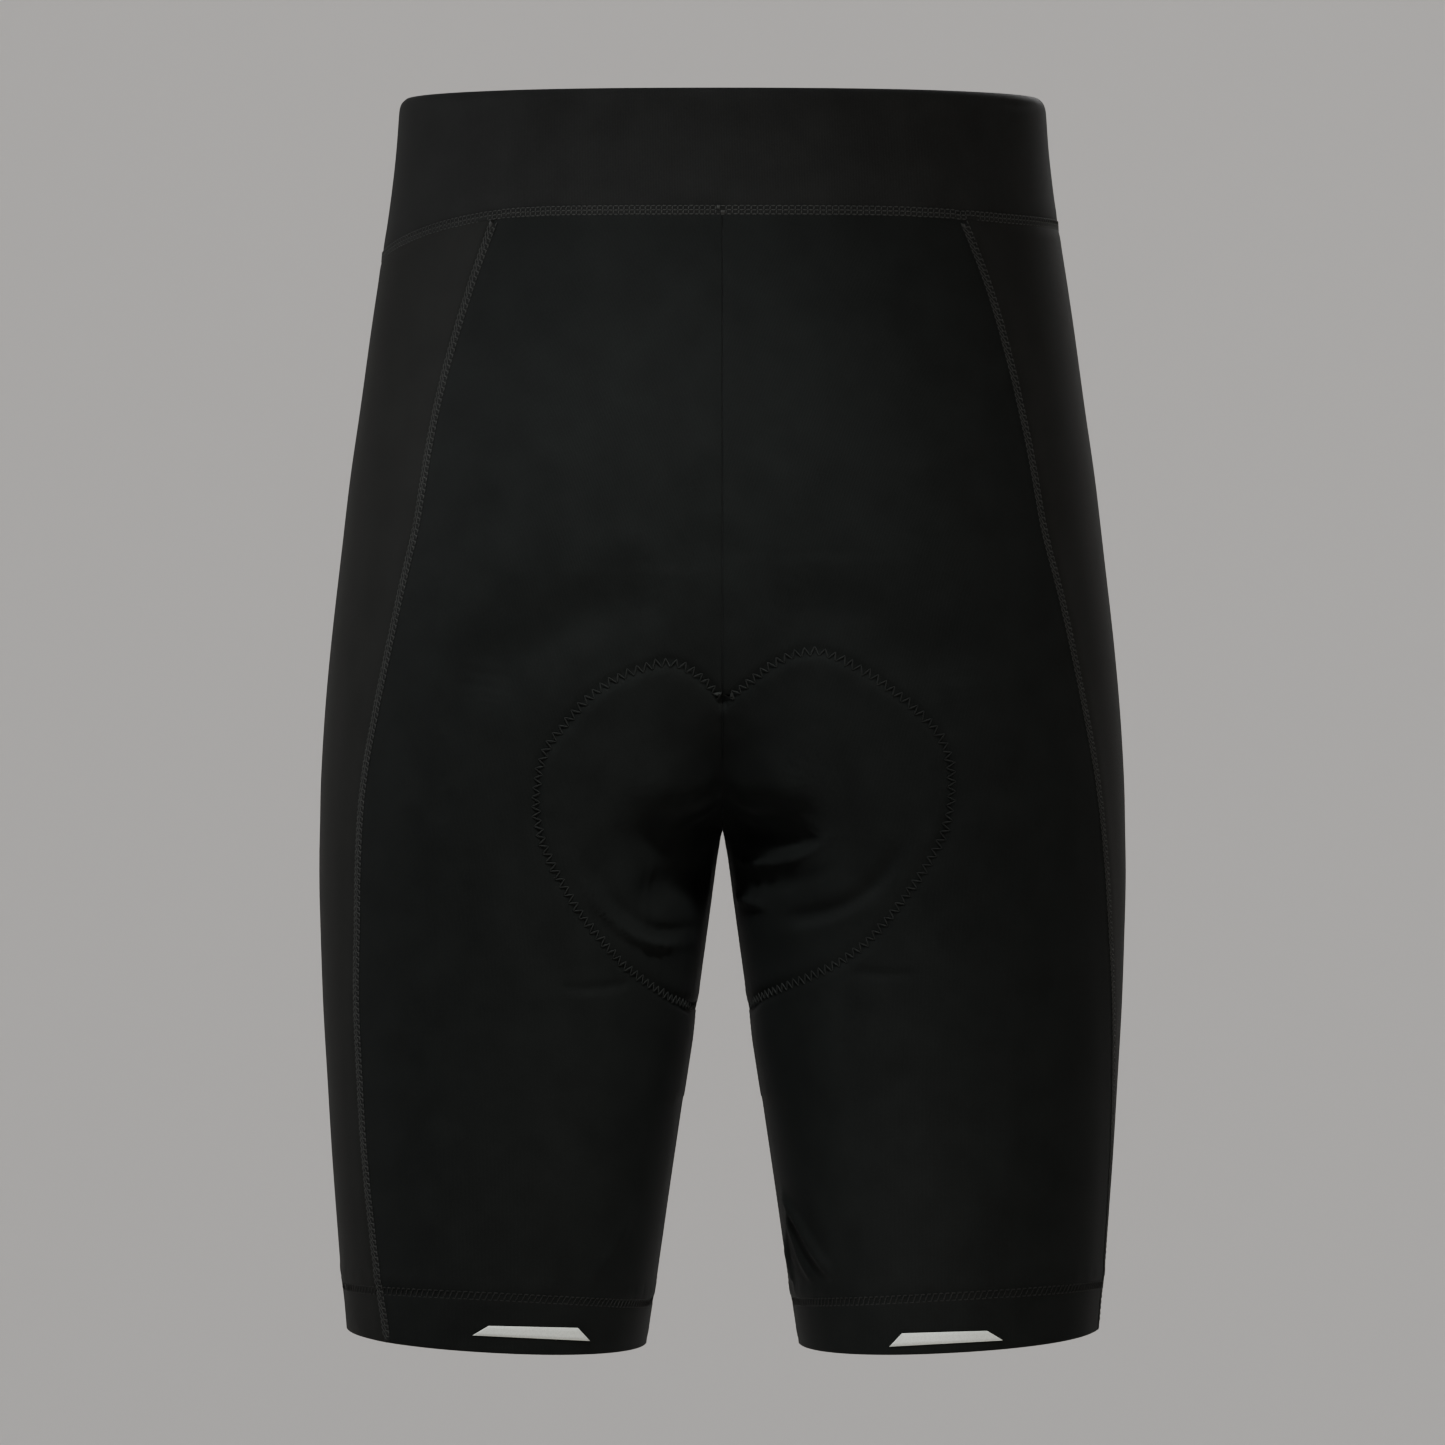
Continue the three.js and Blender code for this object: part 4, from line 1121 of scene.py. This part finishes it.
# %% Mould the pad and fold it with the cloth
CHANNEL_APART, CHANNEL_WIDTH, CHANNEL_DEEP = 17 * MM, 3.5 * MM, 1.5
CROWN_WIDTH, CROWN_HIGH = 8 * MM, 0.5
INNER_SIDE, INNER_BLEND = 4 * MM, 2 * MM
places = vertex_arrays(pad.data)[0]
near = [on_cloth(place) for place in places]
outwards = np.array([normal for place, normal in near])
depth = np.linalg.norm(places - np.array([place for place, normal in near]), axis=1)
inner = rise((depth - INNER_SIDE) / INNER_BLEND)
channel = CHANNEL_DEEP * bell(abs(places[:, 0]) - CHANNEL_APART, CHANNEL_WIDTH)
crown = CROWN_HIGH * bell(places[:, 0], CROWN_WIDTH)
folded = np.minimum(relief(places, outwards) - PAD_SWELL, 0)
moved = folded + inner * (channel - crown) * MM
pad.data.vertices.foreach_set("co", (places + outwards * moved[:, None]).ravel())
pad.data.update()
print("pad moved from", round(moved.min() / MM, 2), "to", round(moved.max() / MM, 2), "mm")
pad_cloth = cloth_material("brushed_pad_face", (0.02, 0.023, 0.026), 0.85, 0.2, 1 * MM, 1 * MM, 0.4)
pad.data.materials.clear()
pad.data.materials.append(pad_cloth)
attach(pad, BODY)
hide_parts("seat_pad")

# %% [markdown]
# ## Reflective film
# At the back of each hem sits a narrow strip of silver film, wider at the bottom than at
# the top. It is pressed on with heat, so it is thin and follows the cloth. Glass beads in it
# throw light back: small domed cells stand for them, each with a painted glint of uneven
# brightness, and a painted highlight runs along the cut edge. Thousands of modelled beads
# would look the same at this size.

# %% The bead film
BEAD_SCALE = 2600.0
BEAD_DOME = 0.05 * MM
DULL_BEAD, BEAD_GLINT_SWING, EDGE_HIGHLIGHT_GAIN = 0.84, 0.18, 0.12
EDGE_END, EDGE_BRIM = 0.488, 0.42


def film_material():
    material = bpy.data.materials.new("glass_bead_film")
    material.use_nodes = True
    tree = material.node_tree
    shader = tree.nodes["Principled BSDF"]
    place = tree.nodes.new("ShaderNodeTexCoord")
    beads = tree.nodes.new("ShaderNodeTexVoronoi")
    beads.inputs["Scale"].default_value = BEAD_SCALE
    tree.links.new(place.outputs["Object"], beads.inputs["Vector"])
    bead_glint = tree.nodes.new("ShaderNodeSeparateColor")
    tree.links.new(beads.outputs["Color"], bead_glint.inputs["Color"])
    across = tree.nodes.new("ShaderNodeSeparateXYZ")
    tree.links.new(place.outputs["UV"], across.inputs["Vector"])
    end = maths(tree, "ABSOLUTE", maths(tree, "SUBTRACT", across.outputs[0], 0.5))
    brim = maths(tree, "ABSOLUTE", maths(tree, "SUBTRACT", across.outputs[1], 0.5))
    # A painted highlight along the cut edge of the film.
    edge = maths(tree, "MAXIMUM", maths(tree, "GREATER_THAN", end, EDGE_END),
                 maths(tree, "GREATER_THAN", brim, EDGE_BRIM))
    # Each bead cell gets a painted glint of uneven brightness.
    shade = maths(tree, "MULTIPLY_ADD", bead_glint.outputs["Red"], BEAD_GLINT_SWING, DULL_BEAD)
    shade = maths(tree, "MULTIPLY_ADD", edge, EDGE_HIGHLIGHT_GAIN, shade)
    tint = tree.nodes.new("ShaderNodeMix")
    tint.data_type = "RGBA"
    tint.blend_type = "MULTIPLY"
    tint.inputs["Factor"].default_value = 1.0
    tint.inputs["A"].default_value = (0.70, 0.73, 0.68, 1.0)
    tree.links.new(shade, tint.inputs["B"])
    tree.links.new(tint.outputs["Result"], shader.inputs["Base Color"])
    domes = tree.nodes.new("ShaderNodeBump")
    domes.inputs["Strength"].default_value = 0.3
    domes.inputs["Distance"].default_value = BEAD_DOME
    tree.links.new(maths(tree, "SUBTRACT", 1.0, beads.outputs["Distance"]), domes.inputs["Height"])
    tree.links.new(domes.outputs["Normal"], shader.inputs["Normal"])
    shader.inputs["Roughness"].default_value = 0.4
    return material


# %% Place the films
FILM_CORNERS = {
    "left": [(472.7, 1335.2), (589.2, 1340.7), (577.2, 1327.8), (488.7, 1325.8)],
    "right": [(889.8, 1346.4), (1002.6, 1340.2), (987.0, 1330.7), (902.4, 1333.2)],
}
FILM_LIFT, FILM_THICK = 0.35 * MM, 0.3 * MM
bead_film = film_material()
for side, corners in FILM_CORNERS.items():
    bm = bmesh.new()
    bmesh.ops.create_grid(bm, x_segments=36, y_segments=3, size=0.5)
    uv_layer = bm.loops.layers.uv.new("along_film")
    for face in bm.faces:
        for corner in face.loops:
            corner[uv_layer].uv = (corner.vert.co.x + 0.5, corner.vert.co.y + 0.5)
    for vert in bm.verts:
        u, v = vert.co.x + 0.5, vert.co.y + 0.5
        low = Vector(corners[0]).lerp(Vector(corners[1]), u)
        top = Vector(corners[3]).lerp(Vector(corners[2]), u)
        found, normal = on_cloth(seen_at(*low.lerp(top, v)))
        vert.co = found + normal * FILM_LIFT
    bmesh.ops.recalc_face_normals(bm, faces=bm.faces)
    film = add_object(f"reflective_strip_{side}", bm)
    film.data.materials.append(bead_film)
    layer = film.modifiers.new("layer", "SOLIDIFY")
    layer.thickness = FILM_THICK
    layer.offset = -1.0
    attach(film, BODY)
    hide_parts(f"reflective_film_{side}")
    print(film.name, len(film.data.polygons), "faces")
